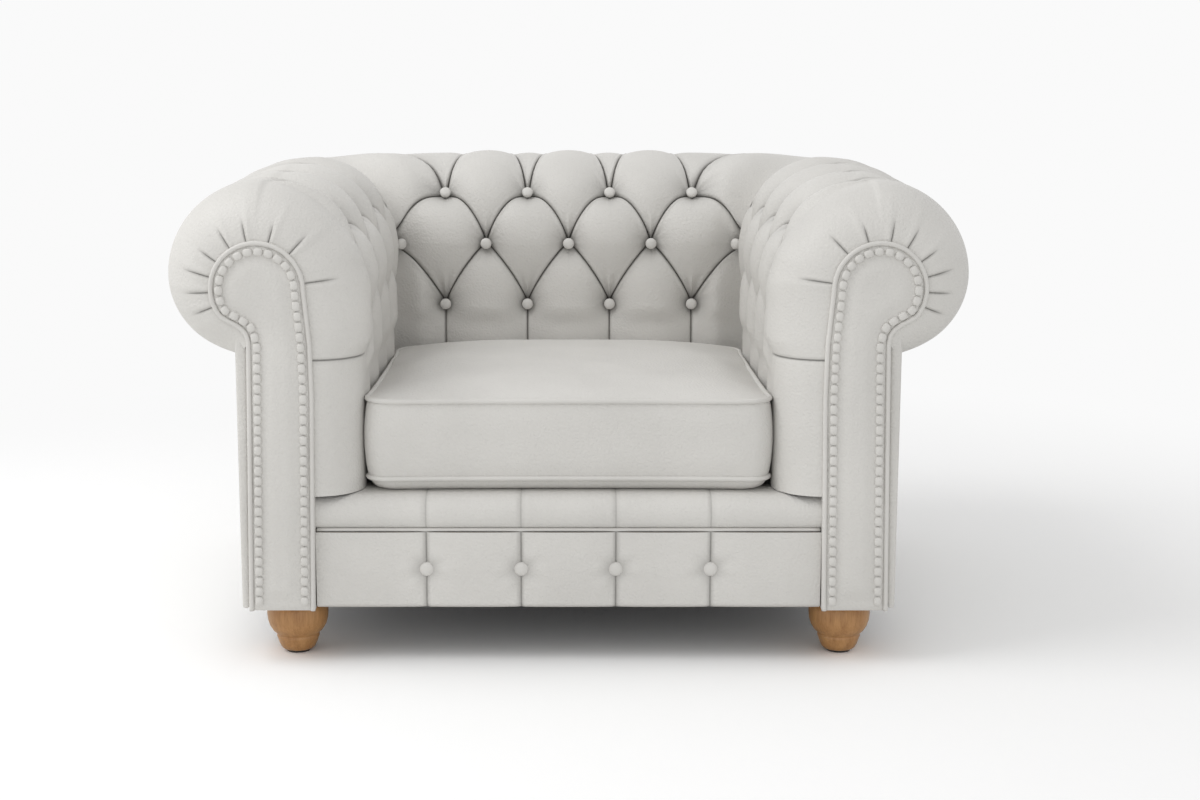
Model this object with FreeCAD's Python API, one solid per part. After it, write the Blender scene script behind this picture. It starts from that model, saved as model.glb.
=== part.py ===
import FreeCAD, Part
import os
from math import asin, ceil, cos, degrees, radians, sin

V = FreeCAD.Vector

# A chesterfield armchair. X runs along its width, the front looks along -Y, Z is up.
# The origin lies on the floor in the middle of the whole. All sizes are millimetres.
# Sections of arms and back are drawn as (out, z): out is the distance from the seat's middle.
# Left is the side with negative X, which is on the left when the chair is seen from the front.

# Clearances, half a turn in degrees, and what counts as flat in a facet
ease = 0.3
half_turn = 180.0
flat_gap = 0.000001
flat_area = 0.001

# Main levels and depths
body_bottom = 80.0
cloth_thick = 1.2
seat_rail_rise = 124.0
deck_rise = 48.0
half_depth = 475.0

# Section of the stuffed arm and back in their creases, three arcs over a straight foot
foot_out = 318.0
sweep_reach = 134.0
roll_rise = 173.0
sweep_radius = 142.0
crest_radius = 132.0
tuck_radius = 120.0

# Buttoning: rows 0 to 3 run from the top of the roll down the inside
row_three_drop = 106.0
row_two_angle = 1.0
row_angle = 37.0
last_column_gap = 118.0
corner_gap = 99.0
arm_columns = 8
back_columns = 3
pillow_crown = 20.0
channel_crown = 15.5
crease_lift = 4.0
channel_fall = 0.9
crest_share = 0.62
tie_width = 0.03
column_steps = 3
pillow_steps = 4
half_pillow_steps = 3
flank_steps = 4
tuck_steps = 3
tuck_angle = -80.0
crest_low = 10.0
crest_high = 19.0
side_low = 6.0
side_high = 9.0

# Rounded front end of the arm
front_crown = 14.0
nose_start_gap = 42.0
nose_end_gap = 5.0
nose_angles = (28.0, 54.0, 78.0)

# Scrolled facing, with its cord as the outermost line
scroll_reach = 77.0
scroll_drop = 2.0
scroll_radius = 70.0
hook_angle = -38.0
facing_width = 101.0
inner_foot_lean = 3.0
waist_lean = 2.0
waist_drop = 158.0
neck_lean = 7.0
neck_drop = 80.0
neck_curl = 6.0
neck_rise = 18.0
cord_width = 8.0
cord_proud = 2.5
cord_step = 9.0
sharpest_turn = 0.5
facing_thick = 12.0
nail_height = 5.0
nail_radius = 5.4
nail_top_share = 0.55
nail_pitch = 15.0
nail_inset = 7.5

# Timber frame and boards
stump_thick = 25.0
stump_inset = 1.0
board_thick = 4.0
former_inset = 14.0
stuffing_thick = 53.0
bend_drop = 88.0
panel_thick = 11.0
panel_lift = 1.5
post_side = 42.0
post_gap = 2.0
rail_thick = 30.0
front_rail_thick = 28.0
front_rail_gap = 30.0
seat_rail_height = 40.0
top_rail_height = 32.0
top_rail_gap = 20.0
rib_thick = 15.0
rib_count = 3
rib_sides = 10
rib_back_gap = 60.0
panel_drop = 6.0
back_rail_gap = 8.0
hollow_depth = 60.0
block_height = 44.0
block_reach = 112.0

# Seat platform, lip and front panel
strap_width = 50.0
strap_thick = 1.0
long_strap_count = 7
cross_strap_count = 6
strap_room = 1.2
lip_gap = 8.0
lip_reach = 138.0
lip_seam_drop = 1.0
lip_fall = 0.86
lip_steps = 7
lip_round = 24.0
panel_steps = 8
front_pad_gap = 14.0
front_welt_side = 6.0
welt_end_gap = 2.0
front_columns = 4
front_pitch = 140.0
front_button_rise = 60.0
front_pad_crown = 7.0

# Loose seat cushion
cushion_gap = 4.5
cushion_setback = 40.0
cushion_back_gap = 12.5
cushion_seam_rise = 15.0
cushion_height = 120.0
cushion_crown = 32.0
cushion_belly = 16.0
cushion_draw = 7.0
cushion_corner_drop = 4.0
cushion_steps = 10
dome_shares = (0.15, 0.4, 0.65, 0.85, 0.96)
dome_power = 2.2
side_draw = 4.0
side_power = 4
waist_share = 0.4
cord_thick = 8.0
cord_seat = 5.2
zip_half_length = 240.0
zip_height = 30.0
zip_thick = 1.6
teeth_proud = 1.2
slider_length = 16.0
slider_stop = 6.0
slider_height = 10.0
slider_thick = 3.0
pull_length = 26.0
pull_height = 8.0
pull_thick = 1.4

# Buttons
button_radius = 9.5
button_top_radius = 5.5
button_height = 6.0
button_lift = 5.6
low_button_lift = 4.3
corner_button_lift = 15.2
front_button_lift = 2.4
front_button_radius = 11.0
button_sides = 8
nail_sides = 6

# Turned feet, screws and glides
foot_side_gap = 62.0
foot_front_gap = 70.0
foot_back_gap = 54.0
cloth_inset = 2.0
foot_radius = 46.0
foot_neck_radius = 31.0
bun_steps = 6
foot_sides = 24
foot_step_z = 26.0
foot_base_radius = 24.0
foot_ring_radius = 31.0
glide_height = 3.0
glide_radius = 18.0
glide_sides = 16
screw_sides = 12
bolt_radius = 4.0
bolt_bottom = 40.0
nut_radius = 8.0
nut_height = 7.0
nut_gap = 0.15

# Levels that follow from the sizes above, from the floor up
frame_bottom = body_bottom + cloth_thick
panel_bottom = frame_bottom + panel_lift
front_button_z = body_bottom + front_button_rise
seat_rail_top = body_bottom + seat_rail_rise
lip_seam_z = seat_rail_top - lip_seam_drop
lining_bottom = seat_rail_top + 2 * strap_thick + strap_room
deck_top = seat_rail_top + deck_rise
pad_bottom = deck_top + ease
hollow_bottom = pad_bottom - hollow_depth
cushion_bottom_seam = deck_top + cushion_seam_rise
cushion_top_seam = cushion_bottom_seam + cushion_height
sweep_z = cushion_top_seam + roll_rise
row_three_z = sweep_z - row_three_drop
top_z = sweep_z + sweep_radius
scroll_z = sweep_z - scroll_drop
former_radius = scroll_radius - former_inset
facing_waist_z = scroll_z - waist_drop
neck_z = scroll_z - neck_drop
lining_bend_z = scroll_z - bend_drop
post_top = scroll_z - former_radius - post_gap
panel_top = post_top - panel_drop

# Distances out from the seat's middle
lining_out = foot_out + stuffing_thick
sweep_out = foot_out + sweep_reach
scroll_out = lining_out + scroll_reach
tuck_centre = (sweep_out + crest_radius - tuck_radius, top_z - crest_radius)
facing_inner_foot = lining_out + inner_foot_lean
facing_inner_waist = lining_out - waist_lean
facing_inner_neck = lining_out
facing_outer_foot = lining_out + facing_width
facing_outer_neck = facing_outer_foot - neck_lean
top_rail_in = lining_out + top_rail_gap
top_rail_out = facing_outer_foot - 2 * stump_inset
panel_out = facing_outer_foot + ease
panel_face = panel_out + panel_thick
post_in = facing_outer_foot - post_side
foot_out_x = facing_outer_foot - foot_side_gap
cushion_half_width = foot_out - channel_crown - cushion_gap

# Depths from front to back
back_shift = half_depth - (sweep_out + crest_radius + side_high)
facing_front = nail_height - half_depth
stump_front = facing_front + facing_thick
stump_back = stump_front + stump_thick
lip_front = facing_front + lip_gap
lip_back = facing_front + lip_reach
front_pad_face = facing_front + front_pad_gap
front_rail_face = facing_front + front_rail_gap
seat_back_rail_y = lining_out + back_shift - rail_thick - back_rail_gap
cushion_front = facing_front + cushion_setback
cushion_back = foot_out + back_shift - channel_crown - cushion_back_gap
front_foot_y = facing_front + foot_front_gap
rear_foot_y = facing_outer_foot + back_shift - foot_back_gap

# Spacing of the buttons
crest_row = 2 - (half_turn / 2 - row_two_angle) / row_angle
arm_half_pitch = (foot_out + back_shift - facing_front - last_column_gap) / arm_columns
back_half_pitch = (foot_out - corner_gap) / back_columns


def arm_place(y):
    """Return the map from an arm's section to space at the depth y."""
    return lambda out, z: V(out, y, z)


def arm_mitre(share, y):
    """Return the map to a plane between the mitre, share 0, and the depth y, share 1."""
    return lambda out, z: V(out, (1 - share) * (out + back_shift) + share * y, z)


def back_place(x):
    """Return the map from the back's section to space at the width x."""
    return lambda out, z: V(x, out + back_shift, z)


def back_mitre(side, share, x):
    """Return the map to a plane between one back mitre, share 0, and the width x, share 1."""
    return lambda out, z: V((1 - share) * side * out + share * x, out + back_shift, z)


def box(x0, x1, y0, y1, z0, z1):
    """Return a block between two corners."""
    return Part.makeBox(x1 - x0, y1 - y0, z1 - z0, V(x0, y0, z0))


def polygon_face(points):
    """Return the flat face inside a closed run of points."""
    return Part.Face(Part.makePolygon(list(points) + [points[0]]))


def mirrored(shape):
    """Return the shape on the other side of the chair."""
    return shape.mirror(V(0, 0, 0), V(1, 0, 0))


def save(node, *solids):
    """Write the solids of one named piece."""
    shape = solids[0] if len(solids) == 1 else Part.makeCompound(list(solids))
    shape.exportStep("parts/" + node + ".step")


def save_pair(name, make):
    """Write a piece of the right side and its mirror image."""
    solids = make()
    save(name + "_right", *solids)
    save(name + "_left", *[mirrored(solid) for solid in solids])


def polar(centre, radius, angle):
    """Return the section point at an angle that counts up from straight outwards."""
    return (centre[0] + radius * cos(radians(angle)), centre[1] + radius * sin(radians(angle)))


def arc(place, start, middle, end):
    """Return the arc through three section points, placed in space."""
    return Part.Arc(place(*start), place(*middle), place(*end)).toShape()


def line(place, start, end):
    """Return the straight edge between two section points, placed in space."""
    return Part.LineSegment(place(*start), place(*end)).toShape()


def outline_edges(place, edges):
    """Return placed edges for a run of (start, middle or None, end) pieces."""
    return [arc(place, a, m, b) if m else line(place, a, b) for a, m, b in edges]


def facets(corners):
    """Return one flat face through four corners, or two triangles where they are twisted."""
    a, b, c, d = corners
    normal = (b - a).cross(c - a)
    if normal.Length > flat_area and abs((d - a).dot(normal)) < flat_gap * normal.Length:
        return [polygon_face(corners)]
    pairs = ((a, b, c), (a, c, d)) if (a - c).Length < (b - d).Length else ((a, b, d), (b, c, d))
    return [polygon_face(p) for p in pairs if (p[1] - p[0]).cross(p[2] - p[0]).Length > flat_area]


def fan(ring):
    """Return triangles from a ring to its middle."""
    middle = V(0, 0, 0)
    for point in ring:
        middle = middle + point * (1 / len(ring))
    return [polygon_face((a, b, middle)) for a, b in zip(ring, ring[1:] + ring[:1])]


def loft(rings, closed=False, crowned=False):
    """Return the solid of flat facets through rings of as many points each."""
    faces = []
    pairs = list(zip(rings[:-1], rings[1:]))
    if closed:
        pairs.append((rings[-1], rings[0]))
    elif crowned:
        faces += fan(rings[0]) + fan(rings[-1])
    else:
        faces += [polygon_face(rings[0]), polygon_face(rings[-1])]
    for near, far in pairs:
        for i in range(len(near)):
            j = (i + 1) % len(near)
            faces += facets((near[i], near[j], far[j], far[i]))
    shell = Part.Shell(faces)
    shell.sewShape()
    solid = Part.Solid(shell)
    if solid.Volume < 0:
        solid.reverse()
    return solid


def cord(points, up, width, closed=True):
    """Return a piped cord of six flat sides along a flat run of points."""
    rings = []
    count = len(points)
    for i, point in enumerate(points):
        before = points[i - 1] if closed or i else point
        after = points[(i + 1) % count] if closed or i + 1 < count else point
        into, out = (point - before), (after - point)
        into = into.normalize() if into.Length else V(out).normalize()
        out = out.normalize() if out.Length else V(into)
        along = V(into + out).normalize()
        side = along.cross(up)
        stretch = 1 / max(along.dot(out), sharpest_turn)
        ring = []
        for k in range(6):
            angle = radians(30 + 60 * k)
            ring.append(point + side * (cos(angle) * width / 2 * stretch)
                        + up * (sin(angle) * width / 2))
        rings.append(ring)
    return loft(rings, closed)


def stud(centre, axis, base_radius, top_radius, height, sides):
    """Return a low covered head with flat sides, standing on its centre along its axis."""
    axis = V(axis).normalize()
    across = V(1, 0, 0) if abs(axis.x) < abs(axis.z) + abs(axis.y) else V(0, 0, 1)
    first = axis.cross(across).normalize()
    second = axis.cross(first)
    rings = []
    for radius, rise in ((base_radius, 0.0), (top_radius, height)):
        ring = []
        for k in range(sides):
            angle = radians(360 * (k + 0.5) / sides)
            ring.append(centre + first * (radius * cos(angle)) + second * (radius * sin(angle))
                        + axis * rise)
        rings.append(ring)
    return loft(rings)


def turned(x, y, profile, sides):
    """Return an upright solid with flat sides through (radius, z) rings."""
    rings = []
    for radius, z in profile:
        rings.append([V(x + radius * cos(radians(360 * k / sides)),
                        y + radius * sin(radians(360 * k / sides)), z) for k in range(sides)])
    return loft(rings)


def inside_point(row, height):
    """Return the section point at a row of the inside, raised off the crease line."""
    if row <= 2:
        return polar((sweep_out, sweep_z), sweep_radius + height,
                     180 - row_two_angle - row_angle * (2 - row))
    upper = inside_point(2, height)
    share = min(row - 2, 1.0)
    return (upper[0] + share * (foot_out - height - upper[0]),
            upper[1] + share * (row_three_z - upper[1]))


def pillow(first_row, last_row, first, middle, last, count):
    """Return points of a crowned stretch between two rows, without its first point."""
    points = []
    for i in range(1, count + 1):
        t = i / count
        height = first + (last - first) * t + 4 * t * (1 - t) * (middle - (first + last) / 2)
        points.append(inside_point(first_row + (last_row - first_row) * t, height))
    return points


def roll_points(crest, side):
    """Return the points from the crest of the roll over its flank to the tuck."""
    points = []
    for i in range(1, flank_steps + 1):
        t = i / flank_steps
        points.append(polar((sweep_out, top_z - crest_radius),
                            crest_radius + crest + (side - crest) * t, 90 - 90 * t))
    for i in range(1, tuck_steps):
        t = i / tuck_steps
        points.append(polar(tuck_centre, tuck_radius + side * (1 - t * t), tuck_angle * t))
    points.append((panel_face + ease, tuck_centre[1] - tuck_radius))
    return points


def stuffed_outline(share, crown=1.0):
    """Return the stuffed outline's points from its foot inside to its tuck outside.

    share is 0 in a column with buttons in rows 0 and 2, and 1 in one with rows 1 and 3.
    """
    channel = channel_crown * (1 - share * share) * crown
    lift = crease_lift * 4 * share * (1 - share)
    crest = crest_low + (crest_high - crest_low) * share * crown
    side = side_low + (side_high - side_low) * share * crown
    step = 1 - 2 * tie_width
    low = 2 + tie_width + share * step
    mid = 2 - tie_width - share * step
    high = tie_width + share * step
    lower_pillow = lift + (pillow_crown - lift) * (1 - (1 - share) ** 2) * crown
    upper_pillow = lift + (pillow_crown - lift) * (1 - share ** 2) * crown
    points = [(foot_out - channel, pad_bottom), inside_point(3, channel)]
    points += pillow(3, low, channel, max(channel, lift) * channel_fall, lift, half_pillow_steps)
    points += pillow(low, mid, lift, lower_pillow, lift, pillow_steps)
    points += pillow(mid, high, lift, upper_pillow, lift, pillow_steps)
    points += pillow(high, crest_row, lift, (lift + crest) * crest_share, crest, half_pillow_steps)
    return points + roll_points(crest, side)


def plain_outline(crown):
    """Return as many points with an even crown, for the arm's front end."""
    points = [(foot_out - crown, pad_bottom), inside_point(3, crown)]
    rows = ((3, 2 + tie_width, half_pillow_steps), (2 + tie_width, 2 - tie_width, pillow_steps),
            (2 - tie_width, tie_width, pillow_steps), (tie_width, crest_row, half_pillow_steps))
    for first_row, last_row, count in rows:
        points += pillow(first_row, last_row, crown, crown, crown, count)
    return points + roll_points(crest_high, side_high)


def drawn_in(point, share):
    """Return an outline point moved from the facing's edge, share 0, to its full place, 1."""
    out, z = point
    if z <= scroll_z and out < scroll_out:
        seat = (facing_inner_neck, z)
    else:
        reach = ((out - scroll_out) ** 2 + (z - scroll_z) ** 2) ** 0.5
        seat = (scroll_out + (out - scroll_out) * scroll_radius / reach,
                scroll_z + (z - scroll_z) * scroll_radius / reach)
    return (seat[0] + share * (out - seat[0]), seat[1] + share * (z - seat[1]))


def stuffed_ring(place, points):
    """Return one closed ring: the stuffed outline and its hidden inner side."""
    return [place(*point) for point in points + [(lining_out, points[0][1])]]


def lining_outline(gap):
    """Return the run of the curved board's outer side, with a gap outside its surface."""
    centre = (scroll_out, scroll_z)
    radius = former_radius + gap
    out = lining_out - gap
    return [
        ((out, lining_bottom), None, (out, lining_bend_z)),
        ((out, lining_bend_z), None, polar(centre, radius, 180)),
        (polar(centre, radius, 180), polar(centre, radius, 135), polar(centre, radius, 90)),
        (polar(centre, radius, 90), polar(centre, radius, 45), polar(centre, radius, 0)),
        (polar(centre, radius, 0), polar(centre, radius, hook_angle / 2),
         polar(centre, radius, hook_angle)),
    ]


def lining_face(place):
    """Return the curved board's section: its outer run and the same run one board inside."""
    outer = lining_outline(0)
    inner = [(b, m, a) for a, m, b in reversed(lining_outline(-board_thick))]
    joins = [(outer[-1][2], None, inner[0][0]), (inner[-1][2], None, outer[0][0])]
    return Part.Face(Part.Wire(outline_edges(place, outer + joins[:1] + inner + joins[1:])))


def lining_core(place, depth):
    """Return the space that the stuffing leaves for the board, rails and outer panel."""
    run = lining_outline(ease)
    floor = hollow_bottom
    tuck_side = panel_face + ease
    points = [run[-1][2], (tuck_side, post_top + ease), (tuck_side, floor),
              (lining_out - ease, floor), run[0][0]]
    run += [(a, None, b) for a, b in zip(points[:-1], points[1:])]
    return Part.Face(Part.Wire(outline_edges(place, run))).extrude(depth)


def mitre_wedge():
    """Return the space of the right arm in front of the corner mitre."""
    reach = 2 * half_depth
    corners = [V(0, back_shift, 0), V(reach, reach + back_shift, 0),
               V(reach, -reach, 0), V(0, -reach, 0)]
    return polygon_face(corners).extrude(V(0, 0, reach))


def back_wedge():
    """Return the space of the back behind both corner mitres."""
    reach = 2 * half_depth
    corners = [V(0, back_shift, 0), V(reach, reach + back_shift, 0), V(-reach, reach + back_shift, 0)]
    return polygon_face(corners).extrude(V(0, 0, reach))


def facing_face(place, inset):
    """Return the flat scroll shape of the facing, drawn in by an inset."""
    centre = (scroll_out, scroll_z)
    left = polar(centre, scroll_radius, 180)
    right = polar(centre, scroll_radius, 0)
    hook = polar(centre, scroll_radius, hook_angle)
    corners = [hook, (facing_outer_neck + neck_curl, neck_z + neck_rise),
               (facing_outer_neck, neck_z), (facing_outer_foot, body_bottom),
               (facing_inner_foot, body_bottom), (facing_inner_waist, facing_waist_z),
               (facing_inner_neck, neck_z), left]
    run = [
        (left, polar(centre, scroll_radius, 135), polar(centre, scroll_radius, 90)),
        (polar(centre, scroll_radius, 90), polar(centre, scroll_radius, 45), right),
        (right, polar(centre, scroll_radius, hook_angle / 2), hook),
    ]
    run += [(a, None, b) for a, b in zip(corners[:-1], corners[1:])]
    face = Part.Face(Part.Wire(outline_edges(place, run)))
    return face.makeOffset2D(-inset, 2) if inset else face


def arm_pad():
    """Return the buttoned stuffing and leather of one arm, with its rounded front end."""
    inner_end = foot_out + back_shift
    rings = [stuffed_ring(arm_mitre(0, 0), stuffed_outline(0, 0.0))]
    for column in range(1, arm_columns + 1):
        y = inner_end - column * arm_half_pitch
        for step in range(1, column_steps + 1):
            t = step / column_steps
            share = t if column % 2 else 1 - t
            if column == 1:
                place = arm_mitre(t, y)
            else:
                place = arm_place(y + arm_half_pitch * (1 - t))
            rings.append(stuffed_ring(place, stuffed_outline(share)))
    nose_start = inner_end - arm_columns * arm_half_pitch - nose_start_gap
    nose_depth = nose_start - (facing_front + nose_end_gap)
    edges = plain_outline(front_crown)
    rings.append(stuffed_ring(arm_place(nose_start), edges))
    last = sin(radians(nose_angles[-1]))
    for angle in nose_angles:
        share = cos(radians(angle))
        y = nose_start - nose_depth * sin(radians(angle)) / last
        rings.append(stuffed_ring(arm_place(y), [drawn_in(point, share) for point in edges]))
    core = lining_core(arm_place(stump_back - ease), V(0, 2 * half_depth, 0))
    front_y = facing_front - cord_width
    room = facing_face(arm_place(front_y), -ease).extrude(V(0, stump_back - front_y, 0))
    side_room = box(facing_inner_waist, panel_face + ease, front_y, stump_back,
                    hollow_bottom, neck_z + neck_rise)
    return [loft(rings).cut(core.fuse([room, side_room]))]


def back_pad():
    """Return the buttoned stuffing and leather of the back, mitred into both arms."""
    rings = [stuffed_ring(back_mitre(-1, 0, 0), stuffed_outline(0, 0.0))]
    last = back_columns * back_half_pitch
    for column in range(-back_columns, back_columns + 2):
        x = column * back_half_pitch
        for step in range(1, column_steps + 1):
            t = step / column_steps
            share = t if column % 2 else 1 - t
            if column == -back_columns:
                place = back_mitre(-1, t, x)
            elif column == back_columns + 1:
                place = back_mitre(1, 1 - t, last)
            else:
                place = back_place(x - back_half_pitch * (1 - t))
            crown = 0.0 if column == back_columns + 1 and step == column_steps else 1.0
            rings.append(stuffed_ring(place, stuffed_outline(share, crown)))
    core = lining_core(back_place(-2 * half_depth), V(4 * half_depth, 0, 0))
    return [loft(rings).cut(core)]


def arm_stump():
    """Return the scrolled front board of one arm."""
    face = facing_face(arm_place(stump_front), stump_inset)
    return [face.extrude(V(0, stump_thick, 0))]


def facing_panel():
    """Return the padded scroll panel that covers the front board."""
    face = facing_face(arm_place(facing_front), cord_width + ease)
    return [face.extrude(V(0, facing_thick, 0))]


def outline_samples(face, step):
    """Return points along a face's edge: every corner, and arcs cut to about one step."""
    points = []
    for edge in face.OuterWire.OrderedEdges:
        count = 1 if edge.Curve.TypeId == "Part::GeomLine" else ceil(edge.Length / step)
        run = edge.discretize(Number=count + 1)
        if edge.Orientation == "Reversed":
            run.reverse()
        points += run[:-1]
    return points


def facing_cord():
    """Return the piped cord round the facing."""
    face = facing_face(arm_place(facing_front - cord_proud + cord_width / 2), cord_width / 2)
    return [cord(outline_samples(face, cord_step), V(0, -1, 0), cord_width - 2 * ease)]


def facing_nails():
    """Return the covered nail heads just inside the facing's cord, on all but its foot."""
    face = facing_face(arm_place(facing_front), cord_width + nail_inset)
    low = body_bottom + 2 * (cord_width + nail_inset)
    edges = [edge for edge in face.OuterWire.Edges
             if max(vertex.Z for vertex in edge.Vertexes) > low]
    run = Part.Wire(Part.__sortEdges__(edges))
    places = run.discretize(Number=int(run.Length / nail_pitch) + 1)
    return [stud(place, V(0, -1, 0), nail_radius, nail_radius * nail_top_share, nail_height,
                 nail_sides) for place in places]


def lining_board():
    """Return the bent board that carries one arm's stuffing, from stump to corner mitre."""
    run = lining_face(arm_place(stump_back)).extrude(V(0, 2 * half_depth, 0))
    return [run.common(mitre_wedge())]


def back_lining_board():
    """Return the bent board that carries the back's stuffing between both mitres."""
    run = lining_face(back_place(-2 * half_depth)).extrude(V(4 * half_depth, 0, 0))
    return [run.common(back_wedge())]


def top_rail():
    """Return the rail inside one arm's roll, mitred over the rear post."""
    run = box(top_rail_in, top_rail_out, stump_back, half_depth,
              post_top, post_top + top_rail_height)
    return [run.common(mitre_wedge())]


def back_top_rail():
    """Return the rail inside the back's roll, mitred over both rear posts."""
    reach = 2 * half_depth
    run = box(-reach, reach, top_rail_in + back_shift, top_rail_out + back_shift,
              post_top, post_top + top_rail_height)
    return [run.common(back_wedge())]


def rib_face(place):
    """Return the D-shaped rib that fills the curved board over its rail."""
    radius = former_radius - board_thick - ease
    drop = degrees(asin((scroll_z - post_top - top_rail_height) / radius))
    sweep = half_turn + 2 * drop
    return polygon_face([place(*polar((scroll_out, scroll_z), radius, sweep * i / rib_sides - drop))
                         for i in range(rib_sides + 1)])


def roll_ribs():
    """Return the ribs along one arm's roll."""
    first = stump_back + ease
    last = foot_out + back_shift + rib_back_gap
    pitch = (last - first) / (rib_count - 1)
    return [rib_face(arm_place(first + i * pitch)).extrude(V(0, rib_thick, 0))
            for i in range(rib_count)]


def back_roll_ribs():
    """Return the ribs along the back's roll."""
    pitch = foot_out
    return [rib_face(back_place((i - 1) * pitch - rib_thick / 2)).extrude(V(rib_thick, 0, 0))
            for i in range(rib_count)]


def rear_post():
    """Return the post where one arm meets the back."""
    far = facing_outer_foot + back_shift
    return [box(post_in, facing_outer_foot, far - post_side, far, frame_bottom, post_top)]


def side_rail():
    """Return the lower outside rail of one arm."""
    return [box(facing_outer_foot - rail_thick, facing_outer_foot, stump_back,
                post_in + back_shift, frame_bottom, seat_rail_top)]


def seat_side_rail():
    """Return the rail beside the seat that the cross straps are fixed to."""
    inner = lining_out + board_thick + ease
    return [box(inner, inner + rail_thick, stump_back, seat_back_rail_y,
                seat_rail_top - seat_rail_height, seat_rail_top)]


def front_rail():
    """Return the rail under the lip, cut to both stumps."""
    rail = box(-facing_inner_foot, facing_inner_foot, front_rail_face,
               front_rail_face + front_rail_thick, frame_bottom, seat_rail_top)
    stump = arm_stump()[0]
    side = seat_side_rail()[0]
    return rail.cut(stump.fuse([mirrored(stump), side, mirrored(side)]))


def seat_back_rail():
    """Return the rail behind the seat, between both side rails."""
    end = facing_outer_foot - rail_thick
    return box(-end, end, seat_back_rail_y, seat_back_rail_y + rail_thick,
               seat_rail_top - seat_rail_height, seat_rail_top)


def back_rail():
    """Return the lower rail of the back, between both rear posts."""
    far = facing_outer_foot + back_shift
    return box(-post_in, post_in, far - rail_thick, far, frame_bottom, seat_rail_top)


def block_plans():
    """Return the corners of the front and the rear block of the right side."""
    side = facing_outer_foot - rail_thick
    rail_back = front_rail_face + front_rail_thick
    front = [(side, stump_back), (facing_inner_foot, stump_back),
             (facing_inner_foot, rail_back), (side - block_reach, rail_back),
             (side, rail_back + block_reach)]
    post_front = facing_outer_foot - post_side + back_shift
    rail_front = facing_outer_foot + back_shift - rail_thick
    rear = [(side, post_front), (post_in, post_front), (post_in, rail_front),
            (side - block_reach, rail_front), (side, rail_front - block_reach)]
    return front, rear


def corner_blocks():
    """Return the four glued blocks that brace the corners and hold the feet."""
    blocks = []
    for plan in block_plans():
        plate = polygon_face([V(x, y, body_bottom) for x, y in plan])
        block = plate.extrude(V(0, 0, block_height))
        for x, y in foot_places():
            hole = turned(x, y, ((bolt_radius + ease, body_bottom - ease),
                                 (bolt_radius + ease, body_bottom + block_height + ease)),
                          screw_sides)
            block = block.cut(hole)
        blocks += [block, mirrored(block)]
    return blocks


def foot_places():
    """Return the middle of each foot of the right side."""
    return ((foot_out_x, front_foot_y), (foot_out_x, rear_foot_y))


def outside_panel():
    """Return the leather-covered outside board of one arm."""
    back = panel_out + back_shift - ease
    return [box(panel_out, panel_face, facing_front + cord_width, back, panel_bottom,
                panel_top)]


def back_outside_panel():
    """Return the leather-covered outside board of the back, over the arms' panel ends."""
    near = panel_out + back_shift
    return box(-panel_face, panel_face, near, near + panel_thick, panel_bottom, panel_top)


def seat_straps():
    """Return the elastic straps from front to back, and the cross straps over them."""
    low = seat_rail_top
    long_pitch = 2 * foot_out / (long_strap_count + 1)
    straps = []
    for i in range(long_strap_count):
        x = (i + 1) * long_pitch - foot_out - strap_width / 2
        straps.append(box(x, x + strap_width, front_rail_face + ease,
                          seat_back_rail_y + rail_thick, low, low + strap_thick))
    start = front_rail_face + front_rail_thick
    cross_pitch = (seat_back_rail_y - start) / cross_strap_count
    half = lining_out + rail_thick - ease
    for i in range(cross_strap_count):
        y = start + (i + 0.5) * cross_pitch - strap_width / 2
        straps.append(box(-half, half, y, y + strap_width, low + strap_thick,
                          low + 2 * strap_thick))
    return straps


def seat_deck():
    """Return the stuffed platform under the cushion."""
    side = lining_out - ease
    return box(-side, side, lip_back + ease, lining_out + back_shift - ease,
               lining_bottom, deck_top)


def front_lip():
    """Return the padded lip over the front rail, crowned forward and up."""
    half = facing_inner_waist - ease
    base = seat_rail_top + strap_thick + ease
    rail_face = front_rail_face - ease
    points = [(rail_face, lip_seam_z), (front_pad_face, lip_seam_z)]
    for i in range(1, lip_steps):
        angle = radians(180 * i / lip_steps - 90)
        points.append((front_pad_face + (lip_front - front_pad_face) * cos(angle),
                       lip_seam_z + (deck_top - lip_seam_z) * (0.5 + 0.5 * sin(angle)) * lip_fall))
    points += [(front_pad_face + lip_round, deck_top), (lip_back, deck_top),
               (lip_back, base + strap_thick),
               (front_rail_face + front_rail_thick, base + strap_thick),
               (front_rail_face + front_rail_thick, base), (rail_face, base)]
    face = polygon_face([V(-half, y, z) for y, z in points])
    lip = face.extrude(V(2 * half, 0, 0))
    stump = facing_face(arm_place(facing_front - cord_width), -ease)
    room = stump.extrude(V(0, facing_thick + stump_thick + 2 * cord_width, 0))
    return lip.cut(room.fuse(mirrored(room)))


def front_pleats():
    """Return the place across the chair of each upright pleat in the front panel."""
    return [front_pitch * (i - (front_columns - 1) / 2) for i in range(front_columns)]


def front_panel():
    """Return the leather panel under the lip, swelling between its upright pleats."""
    half = facing_inner_waist - ease
    low, high = body_bottom + cord_width, lip_seam_z - front_welt_side - ease
    back_y = front_rail_face - ease
    profile = []
    for side in (-1, 1):
        profile.append((side * half, back_y))
    edges = [-half] + front_pleats() + [half]
    for left, right in reversed(list(zip(edges[:-1], edges[1:]))):
        for i in range(panel_steps):
            t = i / panel_steps
            swell = 4 * t * (1 - t) * front_pad_crown
            profile.append((right + (left - right) * t, front_pad_face + front_pad_crown - swell))
    profile.append((-half, front_pad_face + front_pad_crown))
    plate = polygon_face([V(x, y, low) for x, y in profile]).extrude(V(0, 0, high - low))
    stump = facing_face(arm_place(facing_front - cord_width), -ease)
    room = stump.extrude(V(0, facing_thick + stump_thick + 2 * cord_width, 0))
    return plate.cut(room.fuse(mirrored(room)))


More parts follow.
